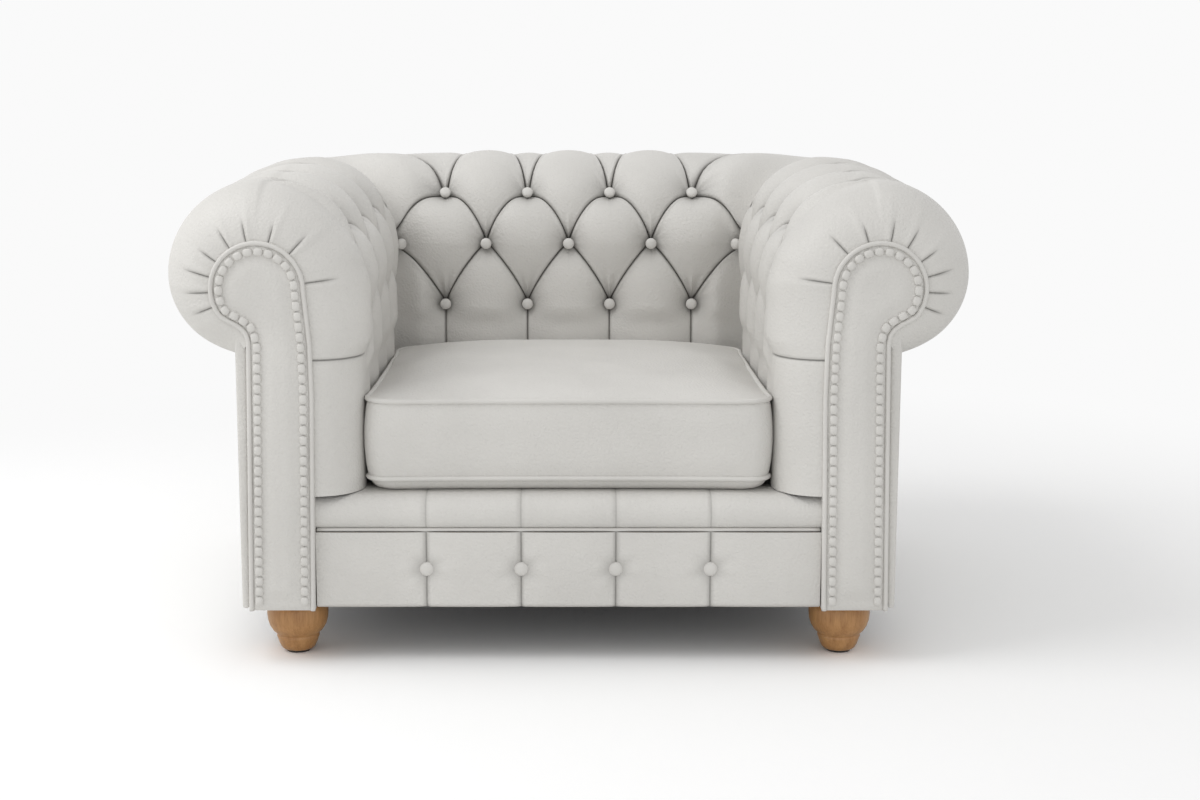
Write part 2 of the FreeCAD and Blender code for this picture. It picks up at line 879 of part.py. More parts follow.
def front_welt():
    """Return the piped seam between lip and front panel."""
    half = facing_inner_foot - 2 * ease - welt_end_gap
    z = lip_seam_z - front_welt_side / 2 - ease / 2
    y = front_pad_face + front_welt_side / 2
    return cord([V(-half, y, z), V(half, y, z)], V(0, 0, 1), front_welt_side, False)


def front_buttons():
    """Return the four covered buttons in the front panel's pleats."""
    y = front_pad_face + front_pad_crown - front_button_lift
    return [stud(V(x, y, front_button_z), V(0, -1, 0), front_button_radius, button_top_radius,
                 button_height, button_sides) for x in front_pleats()]


def section_normal(row):
    """Return the outward direction of the inside surface at a row."""
    low, high = inside_point(row, 0), inside_point(row, 1)
    return (high[0] - low[0], high[1] - low[1])


def arm_buttons():
    """Return the covered buttons in one arm, one at each crossing of its creases."""
    buttons = []
    for column in range(1, arm_columns + 1):
        y = foot_out + back_shift - column * arm_half_pitch
        for row in ((1, 3) if column % 2 else (0, 2)):
            out, z = inside_point(row, low_button_lift if row == 3 else button_lift)
            along, up = section_normal(row)
            buttons.append(stud(V(out, y, z), V(along, 0, up), button_radius,
                                button_top_radius, button_height, button_sides))
    return buttons


def back_buttons():
    """Return the covered buttons in the back, those in both corners included."""
    buttons = []
    for column in range(-back_columns, back_columns + 1):
        for row in ((1, 3) if column % 2 else (0, 2)):
            out, z = inside_point(row, low_button_lift if row == 3 else button_lift)
            along, up = section_normal(row)
            buttons.append(stud(V(column * back_half_pitch, out + back_shift, z), V(0, along, up),
                                button_radius, button_top_radius, button_height, button_sides))
    for side in (-1, 1):
        out, z = inside_point(2, corner_button_lift)
        buttons.append(stud(V(side * out, out + back_shift, z), V(-side, -1, 0), button_radius,
                            button_top_radius, button_height, button_sides))
    return buttons


def dust_cover():
    """Return the cloth under the frame, cut away under the corner blocks."""
    side = facing_outer_foot - cloth_inset
    cloth = box(-side, side, stump_back, side + back_shift, body_bottom, frame_bottom)
    for plan in block_plans():
        hole = polygon_face([V(x, y, body_bottom - ease) for x, y in plan])
        hole = hole.extrude(V(0, 0, 2 * cloth_thick))
        cloth = cloth.cut([hole, mirrored(hole)])
    return cloth


def feet(y):
    """Return a pair of turned bun feet, bored for their screws."""
    pair = []
    for x in (-foot_out_x, foot_out_x):
        profile = [(foot_base_radius, glide_height), (foot_ring_radius, foot_step_z)]
        for i in range(1, bun_steps):
            angle = radians(180 * i / bun_steps - 90)
            z = foot_step_z + (body_bottom - foot_step_z) * (0.5 + 0.5 * sin(angle))
            profile.append((foot_neck_radius + (foot_radius - foot_neck_radius) * cos(angle), z))
        profile.append((foot_neck_radius, body_bottom))
        bore = turned(x, y, ((bolt_radius + ease, bolt_bottom - ease),
                             (bolt_radius + ease, body_bottom + ease)), screw_sides)
        pair.append(turned(x, y, profile, foot_sides).cut(bore))
    return pair


def all_foot_places():
    """Return the middle of each foot."""
    return [(side * x, y) for side in (-1, 1) for x, y in foot_places()]


def glides():
    """Return the nylon glide under each foot."""
    return [turned(x, y, ((glide_radius, 0), (glide_radius, glide_height)), glide_sides)
            for x, y in all_foot_places()]


def foot_screws():
    """Return the screw of each foot, up through its corner block."""
    top = body_bottom + block_height + nut_height
    return [turned(x, y, ((bolt_radius, bolt_bottom), (bolt_radius, top)), screw_sides)
            for x, y in all_foot_places()]


def foot_nuts():
    """Return the hexagon nut of each screw, on its corner block."""
    low = body_bottom + block_height
    nuts = []
    for x, y in all_foot_places():
        nut = turned(x, y, ((nut_radius, low), (nut_radius, low + nut_height - ease)), 6)
        hole = turned(x, y, ((bolt_radius + nut_gap, low - ease),
                             (bolt_radius + nut_gap, low + nut_height)), screw_sides)
        nuts.append(nut.cut(hole))
    return nuts


def cushion_ring(level):
    """Return the cushion's plan at a level from 0, its lower seam, to 1, its upper one."""
    waist = cushion_draw * (1 - (2 * level - 1) ** 2)
    half = cushion_half_width - cord_thick
    z = cushion_bottom_seam + (cushion_top_seam - cushion_bottom_seam) * level
    near, far = cushion_front + cord_thick, cushion_back - cord_thick
    middle_y, half_y = (near + far) / 2, (far - near) / 2
    points = []
    for i in range(4 * cushion_steps):
        side, t = divmod(i, cushion_steps)
        t = 2 * t / cushion_steps - 1
        bow = 1 - t * t
        out = -(1 - t ** side_power) * side_draw
        a, b = {0: (t, -1 - out / half_y), 1: (1 + out / half, t),
                2: (-t, 1 + out / half_y), 3: (-1 - out / half, -t)}[side]
        pull = 1 - (waist - waist * bow * waist_share) / half
        points.append(V(a * half * pull, middle_y + b * half_y * pull,
                        z - cushion_corner_drop * (1 - bow) * (2 * level - 1)))
    return points


def dome_ring(share, height, drop):
    """Return a ring of the crowned top or bottom, from its seam, share 1, to its middle, 0."""
    edge = cushion_ring(1 if height > 0 else 0)
    middle_y = (cushion_front + cushion_back) / 2
    rise = height * (1 - share ** dome_power)
    return [V(p.x * share, middle_y + (p.y - middle_y) * share,
              p.z * share ** 2 + drop * (1 - share ** 2) + rise) for p in edge]


def seat_cushion():
    """Return the filled cushion: crowned faces, sides drawn in between its seams."""
    rings = []
    for share in dome_shares:
        rings.append(dome_ring(share, -cushion_belly, cushion_bottom_seam))
    for level in (0.0, 0.5, 1.0):
        rings.append(cushion_ring(level))
    for share in reversed(dome_shares):
        rings.append(dome_ring(share, cushion_crown, cushion_top_seam))
    solid = loft(rings, crowned=True)
    rest = deck_top + ease
    flat = box(-half_depth, half_depth, -half_depth, half_depth, body_bottom, rest)
    return solid.cut(flat)


def cushion_cord(level):
    """Return the piped cord round one seam of the cushion."""
    points = cushion_ring(level)
    middle = V(0, (cushion_front + cushion_back) / 2, 0)
    away = []
    for point in points:
        out = V(point.x, point.y - middle.y, 0)
        out = out.normalize()
        away.append(point + out * cord_seat)
    return cord(away, V(0, 0, 1), cord_thick)


def zip_place():
    """Return the depth of the cushion's rear side and the level of its middle."""
    waist, seam = [max(point.y for point in cushion_ring(level) if abs(point.x) < zip_half_length)
                   for level in (0.5, 1.0)]
    share = zip_height / (cushion_top_seam - cushion_bottom_seam)
    return waist + (seam - waist) * share + ease, (cushion_bottom_seam + cushion_top_seam) / 2


def cushion_zip():
    """Return the zip's tapes and teeth along the cushion's rear side."""
    y, z = zip_place()
    tape = box(-zip_half_length, zip_half_length, y, y + zip_thick, z - zip_height / 2,
               z + zip_height / 2)
    teeth = box(-zip_half_length, zip_half_length, y + zip_thick, y + zip_thick + teeth_proud,
                z - teeth_proud, z + teeth_proud)
    return tape.fuse(teeth)


def zip_slider():
    """Return the slider at the closed end of the zip, with its pull hanging down."""
    y, z = zip_place()
    near = y + zip_thick + teeth_proud + ease
    x = slider_length / 2 + slider_stop - zip_half_length
    body = box(x - slider_length / 2, x + slider_length / 2, near, near + slider_thick,
               z - slider_height / 2, z + slider_height / 2)
    pull = box(x - pull_height / 2, x + pull_height / 2, near + slider_thick,
               near + slider_thick + pull_thick, z - pull_length, z + slider_height / 4)
    return body.fuse(pull)


os.makedirs("parts", exist_ok=True)
save_pair("arm_pad", arm_pad)
save_pair("arm_stump", arm_stump)
save_pair("facing_panel", facing_panel)
save_pair("facing_cord", facing_cord)
save_pair("facing_nails", facing_nails)
save_pair("arm_lining_board", lining_board)
save_pair("arm_top_rail", top_rail)
save_pair("arm_roll_ribs", roll_ribs)
save_pair("rear_post", rear_post)
save_pair("side_rail", side_rail)
save_pair("seat_side_rail", seat_side_rail)
save_pair("arm_outside_panel", outside_panel)
save_pair("arm_buttons", arm_buttons)
save("back_pad", *back_pad())
save("back_lining_board", *back_lining_board())
save("back_top_rail", *back_top_rail())
save("back_roll_ribs", *back_roll_ribs())
save("back_rail", back_rail())
save("back_outside_panel", back_outside_panel())
save("back_buttons", *back_buttons())
save("front_rail", front_rail())
save("seat_back_rail", seat_back_rail())
save("corner_blocks", *corner_blocks())
save("seat_straps", *seat_straps())
save("seat_deck", seat_deck())
save("front_lip", front_lip())
save("front_panel", front_panel())
save("front_welt", front_welt())
save("front_buttons", *front_buttons())
save("dust_cover", dust_cover())
save("front_feet", *feet(front_foot_y))
save("rear_feet", *feet(rear_foot_y))
save("glides", *glides())
save("foot_screws", *foot_screws())
save("foot_nuts", *foot_nuts())
save("seat_cushion", seat_cushion())
save("cushion_top_cord", cushion_cord(1))
save("cushion_bottom_cord", cushion_cord(0))
save("cushion_zip", cushion_zip())
save("zip_slider", zip_slider())
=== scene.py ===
# %% [markdown]
# # A chesterfield armchair in pale leather
# The real chair is a timber frame, covered with stuffing that strings and buttons pull into deep
# diamonds. Arms and back roll over at one height, and a scrolled facing closes each arm in front.
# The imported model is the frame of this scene: every piece is made in its metres, where it says.

# %% Load the frame
import math
import bmesh
import bpy
import numpy as np
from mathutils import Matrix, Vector


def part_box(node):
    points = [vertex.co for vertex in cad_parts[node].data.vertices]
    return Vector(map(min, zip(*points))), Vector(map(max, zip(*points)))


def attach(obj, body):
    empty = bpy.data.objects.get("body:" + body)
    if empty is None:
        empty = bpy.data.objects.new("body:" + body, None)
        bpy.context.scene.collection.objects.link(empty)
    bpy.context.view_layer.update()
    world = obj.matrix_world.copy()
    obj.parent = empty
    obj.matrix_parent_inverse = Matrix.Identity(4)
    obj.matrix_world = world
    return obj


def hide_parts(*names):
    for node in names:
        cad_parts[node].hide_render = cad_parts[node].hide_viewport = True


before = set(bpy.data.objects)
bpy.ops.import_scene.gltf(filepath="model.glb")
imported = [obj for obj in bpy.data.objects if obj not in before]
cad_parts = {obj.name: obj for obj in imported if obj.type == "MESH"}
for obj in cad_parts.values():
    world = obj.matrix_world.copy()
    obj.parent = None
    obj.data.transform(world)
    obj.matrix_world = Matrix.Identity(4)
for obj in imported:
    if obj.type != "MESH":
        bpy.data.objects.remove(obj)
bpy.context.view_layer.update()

print(len(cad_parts), "pieces in the frame")

# %% [markdown]
# ## The camera
# The photograph was taken from in front of the seat, a little over the height of the back, and
# looks down by ten degrees. Its upright lines stay almost parallel, so it is a fairly long lens.
# The chair stands left of the picture's middle, which a small shift of the lens gives.

# %% Camera
camera_data = bpy.data.cameras.new("camera")
camera_data.lens = 57.8
camera_data.shift_x = 0.02625
camera = bpy.data.objects.new("camera", camera_data)
camera.location = (0.0, -3.22, 0.882)
camera.rotation_euler = (math.radians(80), 0, 0)
bpy.context.collection.objects.link(camera)
bpy.context.scene.camera = camera
print("camera at", tuple(camera.location))

# %% [markdown]
# ## A white studio
# A wide soft lamp at the upper left gives the roll its light side and the floor its shadow. The
# sky is dimmer than white for the leather, and almost white where the camera looks straight at
# it, so the leather isn't lit more for a white background. The floor fades to the same tone far
# from the chair, so no edge shows between floor and sky.

# %% Sky, lamps and floor
scene = bpy.context.scene
scene.view_settings.view_transform = "Standard"
paper_tone = 0.955

def add_node(tree, kind, inputs=(), **settings):
    """Add a node, set its properties and fill its sockets with values or links."""
    node = tree.nodes.new("ShaderNode" + kind)
    for key, value in settings.items():
        setattr(node, key, value)
    for key, value in dict(inputs).items():
        if isinstance(value, bpy.types.NodeSocket):
            tree.links.new(value, node.inputs[key])
        else:
            node.inputs[key].default_value = value
    return node

sky = bpy.data.worlds.new("studio_sky")
scene.world = sky
sky.use_nodes = True
sky_tree = sky.node_tree
sky_tree.nodes.clear()
ray = add_node(sky_tree, "LightPath").outputs
seen = add_node(sky_tree, "Math", {0: ray["Is Camera Ray"], 1: ray["Is Glossy Ray"]},
                operation="MAXIMUM")
soft = add_node(sky_tree, "Background", {"Color": (1, 1, 1, 1), "Strength": 0.765})
bare = add_node(sky_tree, "Background", {"Color": (1, 1, 1, 1), "Strength": paper_tone})
either = add_node(sky_tree, "MixShader", {0: seen.outputs[0], 1: soft.outputs[0],
                                          2: bare.outputs[0]})
add_node(sky_tree, "OutputWorld", {"Surface": either.outputs[0]})

def soft_lamp(name, place, aim, size, power):
    """A square lamp of one size that looks from its place at a point."""
    data = bpy.data.lights.new(name, "AREA")
    data.size = size
    data.energy = power
    lamp = bpy.data.objects.new(name, data)
    lamp.location = place
    lamp.rotation_euler = (Vector(aim) - Vector(place)).to_track_quat("-Z", "Y").to_euler()
    bpy.context.collection.objects.link(lamp)

soft_lamp("window_lamp", (-2.2, -0.8, 3.1), (0, 0, 0.4), 2.2, 43)
soft_lamp("side_lamp", (-3.2, -0.7, 0.9), (0, 0, 0.4), 1.2, 7)
soft_lamp("fill_lamp", (0.4, -3.8, 0.7), (0, 0, 0.1), 2.4, 11)

floor_mesh = bpy.data.meshes.new("floor")
floor_mesh.from_pydata([(-30, -12, 0), (30, -12, 0), (30, 60, 0), (-30, 60, 0)], [], [(0, 1, 2, 3)])
floor = bpy.data.objects.new("floor", floor_mesh)
bpy.context.collection.objects.link(floor)
paper = bpy.data.materials.new("white_paper")
paper.use_nodes = True
paper_tree = paper.node_tree
paper_tree.nodes.clear()
ray = add_node(paper_tree, "LightPath").outputs
tone = add_node(paper_tree, "Mix", {0: ray["Is Camera Ray"], 6: (0.88, 0.88, 0.87, 1),
                                    7: (1.0, 1.0, 1.0, 1)}, data_type="RGBA")
matt = add_node(paper_tree, "BsdfDiffuse", {"Color": tone.outputs[2]})
spot = add_node(paper_tree, "VectorMath", {0: add_node(paper_tree, "TexCoord").outputs["Object"]},
                operation="LENGTH")
away = add_node(paper_tree, "MapRange", {"Value": spot.outputs["Value"], "From Min": 0.9,
                                         "From Max": 2.2}, interpolation_type="SMOOTHSTEP")
plain = add_node(paper_tree, "Math", {0: away.outputs[0], 1: ray["Is Camera Ray"]},
                 operation="MULTIPLY")
bright = add_node(paper_tree, "Emission", {"Color": (paper_tone, paper_tone, paper_tone, 1),
                                           "Strength": 1.0})
faded = add_node(paper_tree, "MixShader", {0: plain.outputs[0], 1: matt.outputs[0],
                                           2: bright.outputs[0]})
add_node(paper_tree, "OutputMaterial", {"Surface": faded.outputs[0]})
floor_mesh.materials.append(paper)

# %% [markdown]
# ## Shared finishes as node groups
# Leather, cloth and timber each repeat an effect, so each effect is a group with named sockets:
# pebbled grain, the slow change of tone across a hide with painted shade laid into its creases,
# woven threads and the grain of wood. The groups put out heights, masks and colours, and each
# material gives them to its own shader.

# %% Groups
def new_group(name, inputs, outputs):
    """An empty node group with its sockets, and its two end nodes."""
    tree = bpy.data.node_groups.new(name, "ShaderNodeTree")
    for title, kind, value in inputs:
        socket = tree.interface.new_socket(title, in_out="INPUT", socket_type="NodeSocket" + kind)
        if value is not None:
            socket.default_value = value
    for title, kind in outputs:
        tree.interface.new_socket(title, in_out="OUTPUT", socket_type="NodeSocket" + kind)
    return tree, tree.nodes.new("NodeGroupInput").outputs, tree.nodes.new("NodeGroupOutput")

def fill(tree, end, **values):
    """Link the group's outputs, whose names have _ for spaces."""
    for title, socket in values.items():
        tree.links.new(socket, end.inputs[title.replace("_", " ")])

white = (1, 1, 1, 1)
pebbles, given, end = new_group("pebbled_grain", [("Place", "Vector", None),
                                                  ("Fineness", "Float", 600.0)], [("Height", "Float")])
wander = add_node(pebbles, "TexNoise", {"Vector": given["Place"], "Scale": 160.0, "Detail": 2.0})
shifted = add_node(pebbles, "VectorMath", {0: wander.outputs["Color"], 1: (0.004, 0.004, 0.004),
                                           2: given["Place"]}, operation="MULTIPLY_ADD")
cells = add_node(pebbles, "TexVoronoi", {"Vector": shifted.outputs[0], "Scale": given["Fineness"]},
                 feature="SMOOTH_F1")
coarse = add_node(pebbles, "TexNoise", {"Vector": given["Place"], "Scale": 240.0, "Detail": 3.0})
lifted = add_node(pebbles, "Math", {0: coarse.outputs["Fac"], 1: 0.8, 2: cells.outputs["Distance"]},
                  operation="MULTIPLY_ADD")
fill(pebbles, end, Height=lifted.outputs[0])

# The hide's slow random tone, with painted shade mixed in: where a mesh's mask is high the colour goes
# to a dark shade colour, standing in for the shade in creases, pits and dips.
hide, given, end = new_group("hide_tone", [("Place", "Vector", None), ("Fold", "Float", 0.0),
                                           ("Light", "Color", white), ("Dark", "Color", white),
                                           ("Deep", "Color", white)], [("Color", "Color")])
clouds = add_node(hide, "TexNoise", {"Vector": given["Place"], "Scale": 7.0, "Detail": 4.0})
spread = add_node(hide, "MapRange", {"Value": clouds.outputs["Fac"], "From Min": 0.35,
                                     "From Max": 0.65})
mottled = add_node(hide, "Mix", {0: spread.outputs[0], 6: given["Light"], 7: given["Dark"]},
                   data_type="RGBA")
shaded_tone = add_node(hide, "Mix", {0: given["Fold"], 6: mottled.outputs[2], 7: given["Deep"]},
                  data_type="RGBA")
fill(hide, end, Color=shaded_tone.outputs[2])

weave, given, end = new_group("woven_threads", [("Place", "Vector", None), ("Threads", "Float", 400.0)],
                              [("Height", "Float"), ("Mask", "Float")])
waves = [add_node(weave, "TexWave", {"Vector": given["Place"], "Scale": given["Threads"],
                                     "Distortion": 0.6}, bands_direction=way) for way in "XY"]
crossed = add_node(weave, "Math", {0: waves[0].outputs["Fac"], 1: waves[1].outputs["Fac"]},
                   operation="MULTIPLY")
uneven = add_node(weave, "TexNoise", {"Vector": given["Place"], "Scale": 60.0, "Detail": 3.0})
fill(weave, end, Height=crossed.outputs[0], Mask=uneven.outputs["Fac"])

grain, given, end = new_group("wood_grain", [("Place", "Vector", None), ("Light", "Color", white),
                                             ("Dark", "Color", white)],
                              [("Color", "Color"), ("Height", "Float")])
drawn = add_node(grain, "VectorMath", {0: given["Place"], 1: (26.0, 26.0, 3.0)},
                 operation="MULTIPLY")
rings = add_node(grain, "TexNoise", {"Vector": drawn.outputs[0], "Scale": 4.0, "Detail": 6.0,
                                     "Roughness": 0.7})
fine = add_node(grain, "VectorMath", {0: given["Place"], 1: (260.0, 260.0, 14.0)},
                operation="MULTIPLY")
pores = add_node(grain, "TexNoise", {"Vector": fine.outputs[0], "Scale": 3.0, "Detail": 2.0})
both = add_node(grain, "Math", {0: pores.outputs["Fac"], 1: 0.45, 2: rings.outputs["Fac"]},
                operation="MULTIPLY_ADD")
strength = add_node(grain, "MapRange", {"Value": both.outputs[0], "From Min": 0.5,
                                        "From Max": 0.95})
wooden = add_node(grain, "Mix", {0: strength.outputs[0], 6: given["Light"], 7: given["Dark"]},
                  data_type="RGBA")
fill(grain, end, Color=wooden.outputs[2], Height=pores.outputs["Fac"])
print("groups:", [g.name for g in bpy.data.node_groups])

# %% [markdown]
# ## Materials
# The leather is a pale, fine-grained hide with a soft sheen. Its creases, pits and the dips round
# the buttons get painted shade: a dark colour that a mask carried by each tufted mesh mixes in.
# Timber, webbing and cloth inside the chair only show when the cushion is out or from below, and
# are finished in the same way.

# %% Materials
def linear(red, green, blue):
    """A colour as written in a picture, as light values."""
    return tuple((v / 255 / 12.92) if v <= 10 else ((v / 255 + 0.055) / 1.055) ** 2.4
                 for v in (red, green, blue)) + (1.0,)

def blank_material(name, roughness, **sockets):
    """A material with a shader and the object's own coordinates."""
    material = bpy.data.materials.new(name)
    material.use_nodes = True
    tree = material.node_tree
    tree.nodes.clear()
    shader = add_node(tree, "BsdfPrincipled", {"Roughness": roughness, **sockets})
    add_node(tree, "OutputMaterial", {"Surface": shader.outputs[0]})
    place = add_node(tree, "TexCoord").outputs["Object"]
    return material, tree, shader, place

def use_group(tree, group, **inputs):
    """Place a group in a material."""
    return add_node(tree, "Group", {k.replace("_", " "): v for k, v in inputs.items()},
                    node_tree=group).outputs

def raise_surface(tree, shader, height, strength, depth):
    """Let a height bend the shader's normal."""
    bump = add_node(tree, "Bump", {"Height": height, "Strength": strength, "Distance": depth})
    tree.links.new(bump.outputs[0], shader.inputs["Normal"])

def leather(name, light, dark, deep, fineness, strength):
    """Grained leather; deep is the colour of painted shade that each mesh's mask mixes into its creases.
    """
    material, tree, shader, place = blank_material(name, 0.52, **{"Specular IOR Level": 0.35})
    painted_shade = add_node(tree, "Attribute", attribute_name="painted_shade")
    tone = use_group(tree, hide, Place=place, Fold=painted_shade.outputs["Fac"], Light=light, Dark=dark,
                     Deep=deep)
    tree.links.new(tone["Color"], shader.inputs["Base Color"])
    height = use_group(tree, pebbles, Place=place, Fineness=fineness)
    raise_surface(tree, shader, height["Height"], strength, 0.0008)
    return material

def timber(name, light, dark, roughness, **sockets):
    """Wood with its grain along Z."""
    material, tree, shader, place = blank_material(name, roughness, **sockets)
    figure = use_group(tree, grain, Place=place, Light=light, Dark=dark)
    tree.links.new(figure["Color"], shader.inputs["Base Color"])
    raise_surface(tree, shader, figure["Height"], 0.2, 0.0004)
    return material

def cloth(name, light, dark, threads, roughness):
    """Woven cloth with uneven threads."""
    material, tree, shader, place = blank_material(name, roughness)
    woven = use_group(tree, weave, Place=place, Threads=threads)
    mixed = add_node(tree, "Mix", {0: woven["Mask"], 6: light, 7: dark}, data_type="RGBA")
    tree.links.new(mixed.outputs[2], shader.inputs["Base Color"])
    raise_surface(tree, shader, woven["Height"], 0.4, 0.0006)
    return material

def bare_metal(name, light, dark, roughness):
    """Plated metal with small changes of tone and polish."""
    material, tree, shader, place = blank_material(name, roughness, Metallic=0.9)
    clouds = add_node(tree, "TexNoise", {"Vector": place, "Scale": 90.0, "Detail": 4.0})
    mixed = add_node(tree, "Mix", {0: clouds.outputs["Fac"], 6: light, 7: dark}, data_type="RGBA")
    tree.links.new(mixed.outputs[2], shader.inputs["Base Color"])
    raise_surface(tree, shader, clouds.outputs["Fac"], 0.1, 0.0003)
    return material

# Light and dark are the hide's random tone; the third colour is painted shade for creases and pits.
pale = linear(213, 211, 207), linear(207, 205, 201), linear(96, 94, 90)
finishes = {
    "leather": leather("pale_leather", *pale, 300.0, 0.85),
    "piping_leather": leather("piping_leather", *pale, 900.0, 0.18),
    "covered_buttons": leather("button_leather", *pale, 900.0, 0.2),
    "turned_wood": timber("turned_beech", linear(186, 140, 88), linear(150, 104, 58), 0.42,
                          **{"Coat Weight": 0.15, "Coat Roughness": 0.3}),
    "frame_timber": timber("frame_timber", linear(206, 178, 134), linear(176, 144, 102), 0.7),
    "bent_board": timber("bent_board", linear(196, 168, 128), linear(158, 126, 88), 0.75),
    "webbing": cloth("webbing", linear(176, 158, 122), linear(140, 120, 88), 260.0, 0.9),
    "platform_cloth": cloth("platform_cloth", linear(186, 184, 178), linear(168, 166, 160), 420.0,
                            0.92),
    "dust_cloth": cloth("dust_cloth", linear(58, 58, 60), linear(40, 40, 42), 500.0, 0.95),
    "zip_tape": cloth("zip_tape", linear(196, 194, 190), linear(178, 176, 172), 900.0, 0.85),
    "zinc_steel": bare_metal("zinc_steel", linear(176, 178, 180), linear(140, 143, 147), 0.35),
    "zip_metal": bare_metal("zip_metal", linear(190, 190, 188), linear(160, 160, 158), 0.3),
}
nylon, tree, shader, place = blank_material("glide_nylon", 0.45)
specks = add_node(tree, "TexNoise", {"Vector": place, "Scale": 300.0})
mixed = add_node(tree, "Mix", {0: specks.outputs["Fac"], 6: linear(60, 58, 56),
                               7: linear(44, 42, 40)}, data_type="RGBA")
tree.links.new(mixed.outputs[2], shader.inputs["Base Color"])
raise_surface(tree, shader, specks.outputs["Fac"], 0.15, 0.0002)
finishes["nylon"] = nylon
print("materials:", sorted(finishes))

# %% [markdown]
# ## Building surfaces from rows of points
# Stuffed leather is one continuous skin, so most pieces here are grids of points with a height
# for every point. Rows lie close together where the skin creases, and wide apart on a pillow.
# Tubes for piping and lathe forms for buttons and feet are grids too, closed round one way.

# %% Mesh helpers
chair_middle = Vector((0, 0, 0.35))

def finish_piece(name, mesh, finish, body, replaced):
    """Make an object of a mesh, face it outwards, finish it and let it ride on a body."""
    piece = bpy.data.objects.new(name, mesh)
    bpy.context.collection.objects.link(piece)
    mesh.materials.append(finishes[finish])
    facing = [(polygon.center, polygon.normal, polygon.area) for polygon in mesh.polygons]
    middle = sum((c * a for c, n, a in facing), Vector()) / sum(a for c, n, a in facing)
    middle = middle.lerp(chair_middle, 0.2)
    if sum((c - middle).dot(n) * a for c, n, a in facing) < 0:
        mesh.flip_normals()
    print(name, len(facing), "faces")
    mesh.polygons.foreach_set("use_smooth", [True] * len(mesh.polygons))
    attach(piece, body)
    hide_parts(replaced)
    return piece

def grid_faces(rows, columns, around=False, offset=0):
    """Quads between the points of a grid; around joins its last column to the first."""
    index = np.arange(rows * columns).reshape(rows, columns) + offset
    if around:
        index = np.hstack([index, index[:, :1]])
    return np.stack([index[:-1, :-1], index[:-1, 1:], index[1:, 1:], index[1:, :-1]],
                    -1).reshape(-1, 4)

def grid_mesh(name, parts, painted_shades=None):
    """A mesh of one or more grids, each (points, closed around, caps)."""
    points, faces, count = [], [], 0
    for grid, around, capped in parts:
        rows, columns = grid.shape[:2]
        points.append(grid.reshape(-1, 3))
        faces += grid_faces(rows, columns, around, count).tolist()
        if capped:
            faces.append(list(range(count + columns - 1, count - 1, -1)))
            last = count + (rows - 1) * columns
            faces.append(list(range(last, last + columns)))
        count += rows * columns
    mesh = bpy.data.meshes.new(name)
    mesh.from_pydata(np.concatenate(points).tolist(), [], faces)
    # Each point's painted shade: how far the leather's colour goes to its dark shade colour in creases.
    painted_shade = mesh.attributes.new("painted_shade", "FLOAT", "POINT")
    if painted_shades is not None:
        painted_shade.data.foreach_set("value", np.asarray(painted_shades, np.float32).ravel())
    return mesh

def grid_piece(name, parts, finish, body, replaced, painted_shades=None):
    """A finished piece that is made of grids."""
    return finish_piece(name, grid_mesh(name, parts, painted_shades), finish, body, replaced)

def mirror(points):
    """The same points on the chair's other side, in the order that keeps faces outward."""
    flipped = points[:, ::-1].copy()
    flipped[..., 0] *= -1
    return flipped

def ease_between(value, knots, heights):
    """Values at knots, with a soft curve between them."""
    knots, heights = np.asarray(knots, float), np.asarray(heights, float)
    at = np.clip(np.searchsorted(knots, value, "right") - 1, 0, len(knots) - 2)
    share = np.clip((value - knots[at]) / (knots[at + 1] - knots[at]), 0, 1)
    share = share * share * (3 - 2 * share)
    return heights[at] + share * (heights[at + 1] - heights[at])

def bell(distance, width):
    """A bump that is 1 at no distance and fades within about twice its width."""
    return np.exp(-(distance / width) ** 2)

def crowded(start, end, count):
    """Places from start to end that lie closer together at both ends."""
    return start + (end - start) * (1 - np.cos(np.linspace(0, np.pi, count + 1))) / 2

def with_marks(places, marks, half):
    """Places with three of them moved to each mark, so that a narrow crease is drawn sharp."""
    places = np.array(places, float)
    for mark in marks:
        nearest = int(np.clip(np.argmin(abs(places - mark)), 1, len(places) - 2))
        places[nearest - 1:nearest + 2] = (mark - half, mark, mark + half)
    return places

def tube(path, radius, sides=10, closed=True, up=(0, 0, 1)):
    """Rings of a round cord along a run of points."""
    path = np.asarray(path, float)
    if closed:
        along = np.roll(path, -1, 0) - np.roll(path, 1, 0)
    else:
        along = np.gradient(path, axis=0)
    along /= np.linalg.norm(along, axis=1)[:, None] + 1e-12
    side = np.cross(along, np.asarray(up, float))
    side /= np.linalg.norm(side, axis=1)[:, None] + 1e-12
    rise = np.cross(side, along)
    turn = np.linspace(0, 2 * np.pi, sides, endpoint=False)
    rings = path[:, None] + radius * (np.cos(turn)[None, :, None] * side[:, None]
                                      + np.sin(turn)[None, :, None] * rise[:, None])
    return np.concatenate([rings, rings[:1]]) if closed else rings

# %% [markdown]
# ## The section of arms and back
# Arms and back share one section: straight up from the seat, leaning out, then over the roll and
# under it to the tuck. A row number counts along it: rows 0 to 3 hold buttons, numbers below 0 go
# over the roll and numbers over 3 go down behind the cushion. Height is stuffing off that line.

# %% Section
foot_out, row_three_z, seat_level = 0.318, 0.454, 0.2525
sweep, sweep_radius = (0.452, 0.560), 0.142
crest, crest_radius = (0.452, 0.570), 0.132
tuck, tuck_radius = (0.464, 0.570), 0.120
row_length = 0.0917
crest_row = 2 - 89 / 37
flank_row = crest_row - crest_radius * math.pi / 2 / row_length
tuck_row = flank_row - tuck_radius * math.radians(80) / row_length
foot_row = 3 + (row_three_z - seat_level) / row_length
back_shift = -0.118

def around(centre, radius, degrees):
    """Points at angles that count up from straight outwards."""
    turn = np.radians(degrees)
    return centre[0] + radius * np.cos(turn), centre[1] + radius * np.sin(turn)

